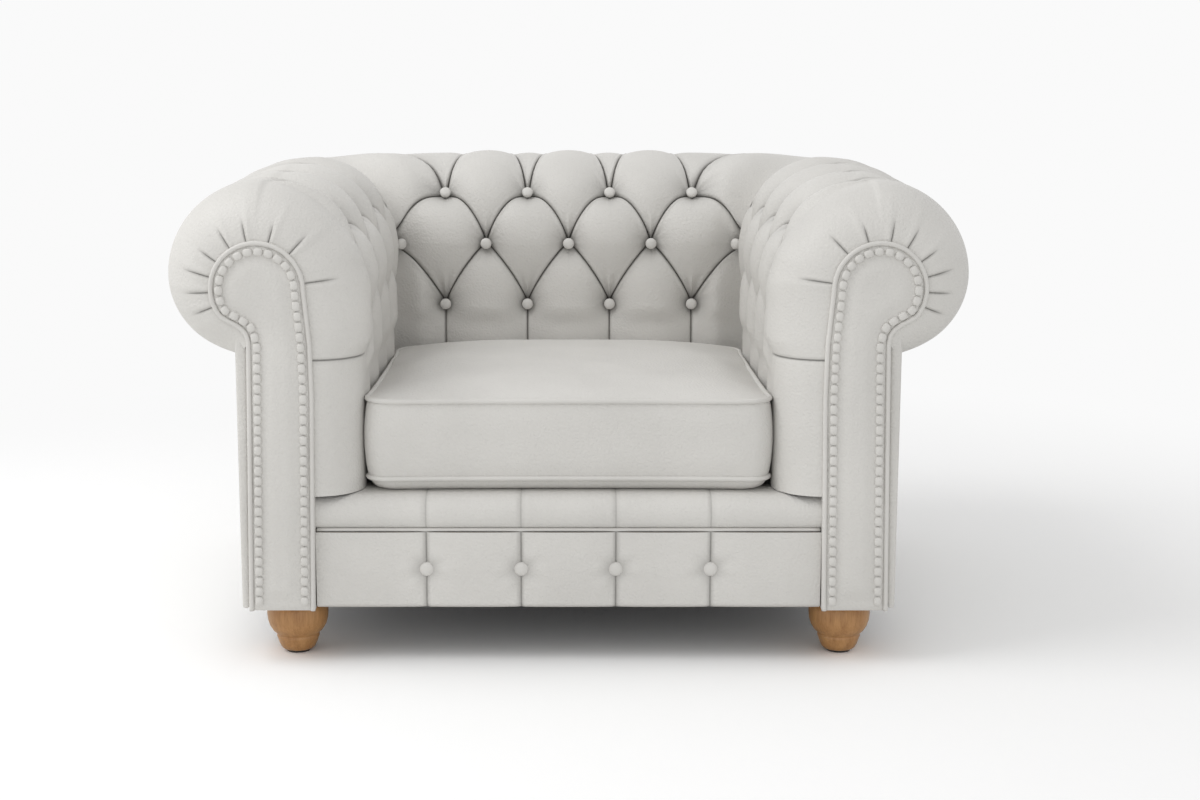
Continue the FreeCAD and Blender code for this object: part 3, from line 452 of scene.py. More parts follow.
def section(row, height):
    """Outward place and level of points on the section, raised by their height."""
    row, height = np.broadcast_arrays(np.asarray(row, float), np.asarray(height, float))
    sweep_out, sweep_z = around(sweep, sweep_radius + height, 179 - 37 * (2 - np.minimum(row, 2)))
    down = np.clip(row - 2, 0, 1)
    wall_out = sweep_out + down * (foot_out - height - sweep_out)
    wall_z = sweep_z + down * (row_three_z - sweep_z) - np.maximum(row - 3, 0) * row_length
    flank = 90 * (row - flank_row) / (crest_row - flank_row)
    flank_out, flank_z = around(crest, crest_radius + height, np.clip(flank, 0, 90))
    under = -80 * (flank_row - row) / (flank_row - tuck_row)
    under_out, under_z = around(tuck, tuck_radius + height, np.clip(under, -80, 0))
    cases = [row < flank_row, row < crest_row]
    return (np.select(cases, [under_out, flank_out], wall_out),
            np.select(cases, [under_z, flank_z], wall_z))

print("rows from", round(tuck_row, 2), "to", round(foot_row, 2))

# %% [markdown]
# ## Diamond buttoning
# Every pleat runs from a button to the next one in the row below. It leaves the upper button
# almost level and drops steeply to the lower one, because the leather is folded downwards there.
# Over the roll, two pleats part above each button of row 1 and meet the next ones behind the crest.
# A pillow's shape is that of a sheet held down along the pleats with stuffing that presses from
# below. Sculpting wouldn't repeat, and cloth over the whole chair wouldn't keep its creases on the
# grid's lines. So the sheet is relaxed once, over half a pitch, and every diamond reads it. Grooves,
# lips, dips at the buttons and the gathers above them are added as measured.

# %% Height of the tufted leather
half_pitch = 0.070
seat_row = -1.4
pleat_shapes = ((1.9, 1.0), (1.7, 0.75), (1.2, 0.8))
groove_width, groove_depth, seam_width = 0.0011, 0.0034, 0.0012
shadow_width = 0.0050
lip_place, lip_width, lip_height = 0.0040, 0.0021, 0.0020
pit_width, pit_depth = 0.010, 0.0026
dip_width, dip_depth = 0.024, 0.0085
gather_height, gather_spread = 0.0034, 0.60
seat_strength = 0.3

def pleat_fall(share, line):
    """How far a pleat has fallen from its upper button, at share 0, to its lower one, at 1."""
    level_start, steep_end = pleat_shapes[line]
    return 1 - (1 - np.clip(share, 0, 1) ** level_start) ** steep_end

def pleats_at(share):
    """The rows of the three pleats that cross a column line."""
    return [seat_row + (1 - seat_row) * pleat_fall(share, 0), 1 + pleat_fall(1 - share, 1),
            2 + pleat_fall(share, 2)]

relaxing_turns, over_relaxation = 900, 1.93

def relax(held, value, pressure):
    """Heights of a stretched sheet under pressure that is held down at some cells."""
    height = np.where(held, value, value[held].mean())
    colour = np.add.outer(np.arange(held.shape[0]), np.arange(held.shape[1])) % 2
    for turn in range(relaxing_turns):
        padded = np.pad(height, ((0, 0), (1, 1)), mode="reflect")
        around_it = padded[:, :-2] + padded[:, 2:]
        around_it[1:-1] += height[2:] + height[:-2]
        step = over_relaxation * (around_it / 4 + pressure - height)
        height = np.where(held | (colour == turn % 2), height, height + step)
    for _ in range(2):
        padded = np.pad(height, 1, mode="reflect")
        height = (padded[1:-1, :-2] + 2 * height + padded[1:-1, 2:]) / 4
        padded = np.pad(height, 1, mode="reflect")
        height = (padded[:-2, 1:-1] + 2 * height + padded[2:, 1:-1]) / 4
    return height

def stretched_cover():
    """The sheet's held height and its swell over one half pitch, from the tuck to the foot."""
    step, wide = 0.011, 71
    rows = np.arange(tuck_row, foot_row + step, step)
    held, value = np.zeros((len(rows), wide), bool), np.zeros((len(rows), wide))
    held[0] = held[-1] = True
    value[-1] = 0.010
    t = np.linspace(0, 1, 900)
    for k, line in enumerate(pleats_at(t)):
        crease = 0.0075 * np.sin(np.pi * t) ** 0.8 - 0.001
        if k == 0:
            knots = [seat_row, crest_row, 0.3, 1]
            crease = ease_between(line, knots, [0.008, 0.008, 0.0065, -0.001])
        place = np.rint((line - rows[0]) / step).astype(int), np.rint(t * (wide - 1)).astype(int)
        held[place], value[place] = True, crease
    over = (rows > seat_row - 1.3) & (rows < seat_row)
    held[over, 0] = True
    value[over, 0] = ease_between(rows[over], [seat_row - 1.3, seat_row], [0.010, 0.008])
    below = rows > 3
    held[below, -1] = True
    value[below, -1] = ease_between(rows[below], [3, 3.3, foot_row], [-0.001, 0.004, 0.006])
    base = relax(held, value, 0.0)
    swell = relax(held, np.zeros_like(value), 1.0)
    peak = swell.max(1)
    reach = int(0.9 / step)
    peak = np.array([peak[max(k - reach, 0):k + reach].max() for k in range(len(rows))])
    window = np.ones(2 * reach + 1) / (2 * reach + 1)
    peak = np.convolve(np.pad(peak, reach, mode="edge"), window, "valid")
    return rows, base, np.clip(swell / peak[:, None], 0, 1) ** 0.8

cover_rows, cover_base, cover_swell = stretched_cover()

def cover_at(field, share, row):
    """The value of a relaxed field between its cells."""
    step = cover_rows[1] - cover_rows[0]
    i = np.clip((row - cover_rows[0]) / step, 0, len(cover_rows) - 1.001)
    j = np.clip(share * (field.shape[1] - 1), 0, field.shape[1] - 1.001)
    i0, j0 = i.astype(int), j.astype(int)
    di, dj = i - i0, j - j0
    return ((field[i0, j0] * (1 - di) + field[i0 + 1, j0] * di) * (1 - dj)
            + (field[i0, j0 + 1] * (1 - di) + field[i0 + 1, j0 + 1] * di) * dj)

def tufting(share, row):
    """Height and painted-shade mask; share is 0 on columns with row 2, and 1 on those with rows 1 and 3.
    """
    share, row = np.broadcast_arrays(np.asarray(share, float), np.asarray(row, float))
    knots = [tuck_row, flank_row, crest_row - 0.9, crest_row, 0, 1.4, 2.4, 3, 3.4, foot_row]
    full = ease_between(row, knots,
                        [0, 0.009, 0.0140, 0.0165, 0.0190, 0.0230, 0.0255, 0.024, 0.013, 0.013])
    height = cover_at(cover_base, share, row) + full * cover_at(cover_swell, share, row)
    groove, shadow = np.zeros_like(height), np.zeros_like(height)
    for k, line in enumerate(pleats_at(share)):
        along = 1 - share if k == 1 else share
        slope = (pleats_at(share + 0.01)[k] - pleats_at(share - 0.01)[k]) / 0.02
        slope = slope * row_length / half_pitch
        away = (row - line) * row_length / np.sqrt(1 + slope * slope)
        groove = np.maximum(groove, bell(away, groove_width))
        shadow = np.maximum(shadow, bell(away, shadow_width))
        lip = bell(away - lip_place, lip_width) + 0.4 * bell(away + lip_place, lip_width)
        height = height + lip_height * lip * (along < 0.97)
    low = ease_between(row, [3, 3.15], [0, 1]) * bell((1 - share) * half_pitch, seam_width)
    knots = [seat_row - 1.3, seat_row - 0.4, seat_row - 0.1, seat_row]
    high = ease_between(row, knots, [0, 1, 1, 0])
    shadow = np.maximum(shadow, 0.8 * high * bell(share * half_pitch, 0.006))
    groove = np.maximum(groove, np.maximum(low, high * bell(share * half_pitch, 0.0014)))
    pit, dip = np.zeros_like(height), np.zeros_like(height)
    for column, line in ((0, seat_row), (1, 1), (0, 2), (1, 3)):
        aside = abs(share - column) * half_pitch
        below = (row - line) * row_length
        away = np.hypot(aside, below)
        deep = seat_strength if line == seat_row else 1.0
        pit = pit + deep * bell(away, pit_width)
        dip = dip + deep * bell(away, dip_width)
        fan = np.arctan2(aside, -below)
        spread = bell(fan, gather_spread) * ease_between(away, [0.009, 0.020, 0.058], [0, 1, 0])
        ripple = np.cos(12 * fan + 0.5)
        height = height + gather_height * deep * ripple * spread
        shadow = np.maximum(shadow, 0.9 * deep * spread * np.clip(-ripple, 0, 1))
        star = np.cos(7 * np.arctan2(below, aside + 1e-9)) * bell(away - 0.017, 0.008)
        height = height + 0.0006 * deep * star
    height = height - groove_depth * groove - pit_depth * pit - dip_depth * dip
    # This mask is painted shade: the colour darkens in grooves, pits, the dips round the buttons, beside
    # each pleat and in the troughs of the gathers, where shade would fall.
    painted_shade = np.clip(np.maximum(0.8 * groove, 0.6 * pit) + 0.16 * shadow + 0.36 * dip, 0, 1)
    return height, painted_shade

def tufted_rows(share):
    """Row numbers down one column line, crowded against every pleat."""
    first, second, third = pleats_at(share)
    below = 3.02
    runs = [crowded(tuck_row, first, 80), crowded(first, second, 90)[1:],
            crowded(second, third, 50)[1:], crowded(third, below, 22)[1:],
            np.linspace(below, foot_row, 30)[1:]]
    return np.concatenate(runs)

row_count = len(tufted_rows(0.5))
print(row_count, "points down each column line")

# %% [markdown]
# ## The facing's outline
# The scrolled facing decides where the arm's nose has to end, so its outline comes first: up the
# inside, round the scroll, and back under it in a hook to the straight outer side.

# %% Facing outline
scroll, scroll_radius = (0.448, 0.558), 0.070
inner_side = np.array([(0.374, 0.0805), (0.369, 0.400), (0.3705, 0.478), (0.3745, 0.520)])
hook_turn, hook_end = -30.0, np.array((0.4655, 0.478))

def hook_curve(share):
    """The outline's turn from under the scroll into the outer side."""
    start = np.array(around(scroll, scroll_radius, hook_turn))
    turn = math.radians(hook_turn)
    first = start + 0.022 * np.array((math.sin(turn), -math.cos(turn)))
    second = hook_end + np.array((0, 0.030))
    t = np.asarray(share, float)[..., None]
    return ((1 - t) ** 3 * start + 3 * t * (1 - t) ** 2 * first + 3 * t * t * (1 - t) * second
            + t ** 3 * hook_end)

def facing_outline(step=0.004):
    """Points round the facing, from its foot inside, over the scroll and down its outer side."""
    circle = np.stack(around(scroll, scroll_radius, np.arange(180, hook_turn - 1, -3.0)), -1)
    corners = np.concatenate([inner_side, circle, hook_curve(np.linspace(0, 1, 14)[1:]),
                              np.array([(0.472, 0.0805)])])
    length = np.concatenate([[0], np.cumsum(np.linalg.norm(np.diff(corners, axis=0), axis=1))])
    places = np.linspace(0, length[-1], int(length[-1] / step))
    return np.stack([np.interp(places, length, corners[:, k]) for k in (0, 1)], -1)

def inset(line, gap):
    """An open outline moved to its right-hand side."""
    along = np.gradient(line, axis=0)
    along /= np.linalg.norm(along, axis=1)[:, None]
    return line + gap * np.stack([along[:, 1], -along[:, 0]], -1)

outline = facing_outline()
print("facing outline of", len(outline), "points")

# %% [markdown]
# ## Arms
# Each arm has eight half pitches of buttoning from the corner mitre forwards, then a rounded nose
# that is gathered to the facing's cord in short radiating pleats, with one level pleat on the
# inside. The nose is drawn in as a quarter turn, so that it meets the cord square to it.

# %% Arm surface
arm_pitch, arm_columns = 0.069, 8
inner_end = foot_out + back_shift
nose_start, nose_top_start, nose_end = -0.394, -0.3625, -0.4662
gathers = (-30, -10, 10, 31, 56, 79, 107, 135, 174)
gather_reach = (1.0, 1.0, 1.05, 0.75, 0.8, 0.75, 0.7, 1.0, 1.15)

def row_at(degrees):
    """The row number at an angle about the roll's centre."""
    degrees = np.asarray(degrees, float)
    return np.select([degrees < 0, degrees <= 90],
                     [flank_row + degrees / 80 * (flank_row - tuck_row),
                      flank_row + degrees / 90 * (crest_row - flank_row)],
                     2 - (179 - degrees) / 37)

gather_rows = row_at(gathers)
nose_rows = with_marks(np.linspace(tuck_row, foot_row, row_count), [*gather_rows, 3.0], 0.022)

def nose_height(row):
    """Height of the plain stuffing on the arm's front end."""
    knots = [tuck_row, flank_row, crest_row, 0.8, 2.1, 2.75, 3.0, 3.15, foot_row]
    return ease_between(row, knots, [0, 0.009, 0.019, 0.014, 0.019, 0.024, 0.016, 0.015, 0.014])

def droop(row, y):
    """How far the roll's inner shoulder sinks towards the arm's front end."""
    knots = [flank_row, crest_row, -0.3, 1.0, 1.7, 2.2]
    sink = ease_between(row, knots, [0, 0.012, 0.016, 0.014, 0.007, 0])
    rear = 0.008 * ease_between(row, [1.1, 1.8, 2.6], [0, 1, 0])
    return (rear * ease_between(y, [-0.08, 0.10], [0, 1])
            + sink * ease_between(y, [-0.37, -0.20, 0.05], [1, 0.6, 0]))

def drawn_to_cord(out, level, share):
    """Section points moved from under the facing's cord, share 0, to their full place, share 1."""
    turn = np.degrees(np.arctan2(level - scroll[1], out - scroll[0]))
    end_out, end_z = around(scroll, scroll_radius - 0.003, turn)
    hook = hook_curve(np.clip((hook_turn - turn) / 40, 0, 1))
    tucked = (turn < hook_turn) & (out > 0.455)
    end_out = np.where(tucked, hook[..., 0] - 0.002, end_out)
    end_z = np.where(tucked, hook[..., 1], end_z)
    wall = (level <= scroll[1]) & (out < scroll[0])
    side_out = np.interp(level, [0.2, 0.4, 0.478, 0.52, 0.558],
                         [0.3715, 0.369, 0.3705, 0.3745, 0.378])
    end_out, end_z = np.where(wall, side_out + 0.003, end_out), np.where(wall, level, end_z)
    return end_out + share * (out - end_out), end_z + share * (level - end_z)

def arm_points():
    """Points and painted-shade mask of the right arm, from the mitre to the facing's cord."""
    lines, painted_shades = [], []
    steps = [k + s for k in range(arm_columns) for s in crowded(0, 1, 24)[:-1]]
    for s in steps:
        share = abs((s + 1) % 2 - 1)
        rows = tufted_rows(share)
        height, painted_shade = tufting(share, rows)
        if s < 1:
            calm = ease_between(s, [0, 0.95], [0, 1])
            height = height * calm + (1 - calm) * np.minimum(height, 0.004)
        y = inner_end - s * arm_pitch
        out, level = section(rows, height - droop(rows, y))
        if s < 1:
            y = (1 - s) * (out + back_shift) + s * (inner_end - arm_pitch)
        lines.append(np.stack([out, np.broadcast_to(y, out.shape), level], -1))
        painted_shades.append(painted_shade)
    last_rows = tufted_rows(0.0)
    for blend in np.linspace(0, 1, 13)[:-1]:
        rows = last_rows + (nose_rows - last_rows) * ease_between(blend, [0, 1], [0, 1])
        tufted, painted_shade = tufting(np.clip(blend * 0.6, 0, 1), rows)
        y = inner_end - arm_columns * arm_pitch
        share = ease_between(blend, [0, 0.8], [0, 1])
        out, level = section(rows, tufted + share * (nose_height(rows) - tufted) - droop(rows, y))
        start = ease_between(rows, [crest_row, 1.6], [nose_top_start, nose_start])
        lines.append(np.stack([out, y + blend * (start - y), level], -1))
        painted_shades.append(painted_shade * (1 - share))
    full_out, full_z = section(nose_rows, nose_height(nose_rows) - droop(nose_rows, nose_start))
    start = ease_between(nose_rows, [crest_row, 1.6], [nose_top_start, nose_start])
    for turn in np.linspace(0, 90, 31):
        pull = ease_between(turn, [12, 75], [0, 1])
        groove = np.zeros_like(nose_rows)
        for place, reach in zip(gather_rows, gather_reach):
            strength = ease_between(turn, [90 - 36 * reach, 90 - 14 * reach], [0, 1])
            groove += strength * bell(nose_rows - place, 0.02)
        level_pleat = ease_between(turn, [0, 20], [0.6, 1]) * bell(nose_rows - 3.0, 0.014)
        groove = np.clip(groove + level_pleat, 0, 1)
        swell = 0.0012 * bell(nose_rows[:, None] - gather_rows - 0.11, 0.08).sum(1) * pull
        share = math.cos(math.radians(turn))
        out, level = drawn_to_cord(full_out, full_z, share)
        normal_out, normal_z = out - scroll[0], level - scroll[1]
        straight = (level < scroll[1]) & (out < scroll[0])
        normal_out = np.where(straight, -1.0, normal_out)
        normal_z = np.where(straight, 0.0, normal_z)
        size = np.hypot(normal_out, normal_z) + 1e-9
        depth = swell - 0.0032 * groove
        out = out + depth * share * normal_out / size
        level = level + depth * share * normal_z / size
        y = start + (nose_end - start) * math.sin(math.radians(turn))
        y = y - depth * math.sin(math.radians(turn)) * (turn < 89)
        lines.append(np.stack([out, np.broadcast_to(y, out.shape), level], -1))
        # Painted shade in the nose's gathers and along its level pleat.
        painted_shades.append(0.8 * groove)
    return np.stack(lines), np.stack(painted_shades)

arm_grid, arm_painted_shade = arm_points()
for side, grid, painted_shade in (("right", arm_grid[:, ::-1], arm_painted_shade[:, ::-1]),
                         ("left", mirror(arm_grid[:, ::-1]), arm_painted_shade)):
    piece = grid_piece("buttoned_arm_" + side, [(grid, False, False)], "leather", "chair",
                       "arm_pad_" + side, painted_shade)
print("arm:", arm_grid.shape[:2], "points")

# %% [markdown]
# ## Back
# The back has the same section and the same buttoning, and ends at both mitres, where its leather
# is folded in against that of the arms. It is drawn from one mitre to the other as one grid.

# %% Back surface
back_pitch, back_columns = 0.073, 3

def back_points():
    """Points and painted-shade mask of the back between its mitres."""
    lines, painted_shades = [], []
    reach = back_columns + 1
    for k in range(-reach, reach):
        steps = crowded(0, 1, 24)
        for s in k + (steps if k == reach - 1 else steps[:-1]):
            share = abs((s + 1) % 2 - 1)
            rows = tufted_rows(share)
            height, painted_shade = tufting(share, rows)
            beyond = abs(s) - back_columns
            if beyond > 0:
                calm = ease_between(1 - beyond, [0, 0.55], [0, 1])
                height = height * calm + (1 - calm) * np.minimum(height, 0.004)
            out, level = section(rows, height)
            x = np.full_like(out, s * back_pitch)
            if beyond > 0:
                x = math.copysign(1, s) * (beyond * out + (1 - beyond) * back_columns * back_pitch)
            lines.append(np.stack([x, out + back_shift, level], -1))
            painted_shades.append(painted_shade)
    return np.stack(lines), np.stack(painted_shades)

back_grid, back_painted_shade = back_points()
buttoned_back = grid_piece("buttoned_back", [(back_grid, False, False)], "leather", "chair",
                           "back_pad", back_painted_shade)
print("back:", back_grid.shape[:2], "points")

# %% [markdown]
# ## Covered buttons and nails
# Buttons are metal shells covered with the same hide, and the nails are covered too. The frame
# holds each one as a small faceted head, so its centre and axis are read from there, and a round
# domed head takes its place. Reading them keeps every head where the string or nail really is.

# %% Heads
def separate_heads(node):
    """Centre and axis of every small head in a node of the frame."""
    work = bmesh.new()
    work.from_mesh(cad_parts[node].data)
    bmesh.ops.remove_doubles(work, verts=work.verts, dist=1e-5)
    left, heads = set(work.verts), []
    while left:
        group, edge = [], [left.pop()]
        while edge:
            vert = edge.pop()
            group.append(vert.co.copy())
            for link in vert.link_edges:
                other = link.other_vert(vert)
                if other in left:
                    left.discard(other)
                    edge.append(other)
        points = np.array(group)
        centre = points.mean(0)
        axis = np.linalg.eigh(np.cov((points - centre).T))[1][:, 0]
        along = (points - centre) @ axis
        wide = np.linalg.norm(points - centre - along[:, None] * axis, axis=1)
        base = along[wide > np.median(wide)].mean()
        if base > 0:
            axis, base = -axis, -base
        heads.append((centre + base * axis, axis))
    work.free()
    return sorted(heads, key=lambda head: tuple(head[0].round(4)))

def dome_heads(heads, profile, sides=20, stretch=None, power=2.0):
    """Lathe rings for each head; stretch gives a head's longer direction and how long it is."""
    turn = np.linspace(0, 2 * np.pi, sides, endpoint=False)
    parts = []
    for k, (centre, axis) in enumerate(heads):
        first = np.cross(axis, (0.0, 0.0, 1.0) if abs(axis[2]) < 0.9 else (1.0, 0.0, 0.0))
        longer = 1.0
        if stretch:
            first, longer = stretch[k]
        first = first / np.linalg.norm(first)
        second = np.cross(axis, first)
        ring = abs(np.cos(turn)) ** power + abs(np.sin(turn)) ** power
        ring = ring ** (-1 / power)
        across = ((np.cos(turn) * ring * longer)[:, None] * first
                  + (np.sin(turn) * ring)[:, None] * second)
        rings = [centre + radius * across + height * axis for radius, height in profile]
        parts.append((np.array(rings), True, True))
    return parts

def sunk_with_leather(heads):
    """The arm's heads, moved in by as much as the leather sinks there."""
    moved = []
    for centre, axis in heads:
        turn = math.degrees(math.atan2(centre[2] - sweep[1], abs(centre[0]) - sweep[0]))
        moved.append((centre - float(droop(row_at(turn), centre[1])) * axis, axis))
    return moved

button_profile = [(0.0088, -0.005), (0.0094, -0.002), (0.0098, 0.0002), (0.0097, 0.0016),
                  (0.0088, 0.0032), (0.0068, 0.0045), (0.0040, 0.0053), (0.0014, 0.0056)]
for node in ("arm_buttons_left", "arm_buttons_right", "back_buttons", "front_buttons"):
    heads = separate_heads(node)
    if node.startswith("arm"):
        heads = sunk_with_leather(heads)
    scale = 1.12 if node == "front_buttons" else 1.0
    parts = dome_heads(heads, [(radius * scale, height) for radius, height in button_profile])
    grid_piece("covered_" + node, parts, "covered_buttons", "chair", node)
    print(node, len(heads), "buttons")

# %% [markdown]
# ## Facings
# A facing is a padded scroll over the arm's front board, edged by a piped cord with a run of
# covered nails inside it. The leather goes back over the board's edge behind the cord. The panel
# is flat under the nails and swells a little inside them, so its height follows the distance from
# the outline. Rings drawn inwards would cross in the narrow neck, so it is a clipped grid instead.

# %% Facing panel
facing_front = -0.470

def distance_inside(points, line):
    """Distance from points to the nearest place on a closed line."""
    start, end = line, np.roll(line, -1, 0)
    way = end - start
    along = ((points[:, None] - start) * way).sum(-1) / (way ** 2).sum(-1)
    near = start + np.clip(along, 0, 1)[..., None] * way
    return np.linalg.norm(points[:, None] - near, axis=-1).min(1)

def facing_mesh(name, sign):
    """The panel: a grid clipped to the outline, its rim, and the leather over the board's edge."""
    rim = inset(outline, 0.0062)
    rim[0, 1] = rim[-1, 1] = outline[0, 1]
    work = bmesh.new()
    loop = [work.verts.new((x, facing_front, z)) for x, z in rim]
    work.faces.new(loop)
    for axis, values in ((0, np.arange(0.372, 0.520, 0.005)), (2, np.arange(0.085, 0.63, 0.006))):
        for value in values:
            normal = Vector((1, 0, 0)) if axis == 0 else Vector((0, 0, 1))
            parts = work.verts[:] + work.edges[:] + work.faces[:]
            bmesh.ops.bisect_plane(work, geom=parts, plane_co=normal * value, plane_no=normal, dist=1e-6)
    points = np.array([(vert.co.x, vert.co.z) for vert in work.verts])
    deep = distance_inside(points, rim)
    deep = np.where(points[:, 1] < 0.10, np.minimum(deep, 0.5), deep)
    rise = ease_between(deep, [0, 0.0022, 0.014, 0.034], [-0.003, 0, 0, 0.0045])
    for vert, lift in zip(work.verts, rise):
        vert.co.y = facing_front - lift
    side = inset(outline, 0.0008)
    skirt = []
    for y in (-0.434, -0.446, -0.458, -0.4655):
        skirt.append([work.verts.new((x, y, z)) for x, z in side])
    skirt.append([work.verts.new((x, facing_front + 0.003, z)) for x, z in rim])
    for near, far in zip(skirt[:-1], skirt[1:]):
        for k in range(len(near) - 1):
            work.faces.new((near[k], near[k + 1], far[k + 1], far[k]))
    bmesh.ops.remove_doubles(work, verts=work.verts, dist=1e-5)
    bmesh.ops.scale(work, vec=(sign, 1, 1), verts=work.verts)
    bmesh.ops.recalc_face_normals(work, faces=work.faces)
    if sum(face.normal.y * face.calc_area() for face in work.faces) > 0:
        bmesh.ops.reverse_faces(work, faces=work.faces)
    mesh = bpy.data.meshes.new(name)
    work.to_mesh(mesh)
    work.free()
    return mesh

for side, sign in (("right", 1), ("left", -1)):
    name = "padded_facing_" + side
    finish_piece(name, facing_mesh(name, sign), "leather", "chair", "facing_panel_" + side)
    line = inset(outline, 0.0037)
    path = np.stack([sign * line[:, 0], np.full(len(line), facing_front + 0.0012), line[:, 1]], -1)
    cord_grid = tube(path, 0.0036, 12, False, (0, 1, 0))
    grid_piece("facing_piping_" + side, [(cord_grid, True, True)], "piping_leather", "chair",
               "facing_cord_" + side)
print("facings stand at y", facing_front)

# %% [markdown]
# ## Covered nails
# The nails sit side by side along the cord. Each is a little longer along the row than across it,
# and no two are quite alike, so every head is a rounded square that is turned to its neighbours.

# %% Facing nails
nail_profile = [(0.0053, -0.002), (0.0057, 0.0), (0.0058, 0.0016), (0.0054, 0.0030), (0.0043, 0.0041),
                (0.0025, 0.0048), (0.0008, 0.0050)]
for side in ("right", "left"):
    node = "facing_nails_" + side
    heads = separate_heads(node)
    centres = np.array([head[0] for head in heads])
    directions = []
    for k, centre in enumerate(centres):
        away = np.linalg.norm(centres - centre, axis=1)
        near = np.argsort(away)[1:3]
        step = centres[near[0]] - (centres[near[1]] if away[near[1]] < 0.02 else centre)
        directions.append((np.array((step[0], 0, step[2])), 1.18 + 0.05 * math.sin(k * 2.4)))
    parts = dome_heads(heads, nail_profile, 20, directions, 3.2)
    grid_piece("covered_nails_" + side, parts, "covered_buttons", "chair", node)
    print(node, len(heads), "nails")

# %% [markdown]
# ## Outside covers
# The outside of each arm and of the back is one flat hide, pulled over the rails from top to
# bottom with a thin layer of wadding. A slab with rolled edges and a faint swell shows that.

# %% Outside covers
def covered_slab(name, node, axis, swell, rim=0.004, tuck_in=0.0):
    """A slab in the box of a node, with rolled edges, swollen large faces and a tucked front edge."""
    low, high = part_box(node)
    low, high = np.array(low), np.array(high)
    first, second = [k for k in range(3) if k != axis]
    size = high - low
    u, v = crowded(0, 1, 40), crowded(0, 1, 40)
    parts = []
    for face in (0, 1):
        uu, vv = np.meshgrid(u, v, indexing="ij")
        near = np.minimum(np.minimum(uu, 1 - uu) * size[first], np.minimum(vv, 1 - vv) * size[second])
        roll = np.clip(near / rim, 0, 1)
        roll = np.sqrt(np.clip(1 - (1 - roll) ** 2, 0, 1))
        bulge = swell * (np.sin(np.pi * uu) * np.sin(np.pi * vv)) ** 0.5
        half = size[axis] / 2
        thick = half * 0.35 + (half - half * 0.35) * roll + bulge
        grid = np.zeros(uu.shape + (3,))
        grid[..., first] = low[first] + uu * size[first]
        grid[..., second] = low[second] + vv * size[second]
        grid[..., axis] = (low[axis] + high[axis]) / 2 + (thick if face else -thick)
        if tuck_in and bool(face) == (low[axis] < 0):
            near_front = np.clip(1 - (grid[..., 1] - low[1]) / 0.030, 0, 1) ** 0.3
            grid[..., axis] -= math.copysign(tuck_in, low[axis]) * near_front * vv
        parts.append((grid if bool(face) != (axis == 1) else grid[::-1], False, False))
    mesh = grid_mesh(name, parts)
    work = bmesh.new()
    work.from_mesh(mesh)
    rims = [edge for edge in work.edges if edge.is_boundary]
    bmesh.ops.bridge_loops(work, edges=rims)
    bmesh.ops.recalc_face_normals(work, faces=work.faces)
    work.to_mesh(mesh)
    work.free()
    return mesh

for side in ("left", "right"):
    node = "arm_outside_panel_" + side
    slab = covered_slab(node, node, 0, 0.0012, tuck_in=0.0068)
    finish_piece("outside_arm_" + side, slab, "leather", "chair", node)
slab = covered_slab("outside_back", "back_outside_panel", 1, 0.0015)
finish_piece("outside_back", slab, "leather", "chair", "back_outside_panel")
print("outside covers made")

# %% [markdown]
# ## Front edge and buttoned rail
# Below the cushion a soft roll covers the seat's front edge, with faint seams in line with four
# buttons on the rail below. Upright pleats run through those buttons from the piping to the foot.

# %% Front edge, rail cover and piping
pleat_places = (-0.210, -0.070, 0.070, 0.210)
cord_reach = 0.0042
lip_radius = 0.026
rail_front, rail_button_z = -0.4555, 0.140

def lip_surface():
    """Points of the rolled front edge along X, with faint seams."""
    low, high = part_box("front_lip")
    marks = with_marks(np.linspace(low.x - cord_reach, high.x + cord_reach, 181), pleat_places, 0.0016)
    front, top, bottom = low.y, high.z, low.z
    run = [(high.y, top - 0.006), (high.y, top), (front + 0.060, top), (front + 0.036, top - 0.0006)]
    for degrees in range(0, 91, 9):
        turn = math.radians(degrees)
        run.append((front + lip_radius * (1 - math.sin(turn)),
                    top - lip_radius * (1 - math.cos(turn)) - 0.0008))
    run += [(front - 0.0004, bottom + 0.018), (front + 0.001, bottom + 0.010),
            (front + 0.004, bottom + 0.004), (front + 0.009, bottom), (front + 0.030, bottom)]
    run = np.array(run)
    grid = np.zeros((len(marks), len(run), 3))
    painted_shades = np.zeros(grid.shape[:2])
    for i, x in enumerate(marks):
        seam = max(bell(x - place, 0.0016) for place in pleat_places)
        grid[i, :, 0] = x
        grid[i, :, 1] = run[:, 0] + 0.0016 * seam * (run[:, 0] < front + 0.05)
        grid[i, :, 2] = run[:, 1] - 0.0008 * seam
        # Painted shade darkens the colour along each seam.
        painted_shades[i] = 0.35 * seam
    return grid, painted_shades

grid, painted_shades = lip_surface()
lip = grid_piece("front_edge_roll", [(grid[:, ::-1], False, False)], "leather", "chair",
                 "front_lip", painted_shades[:, ::-1])

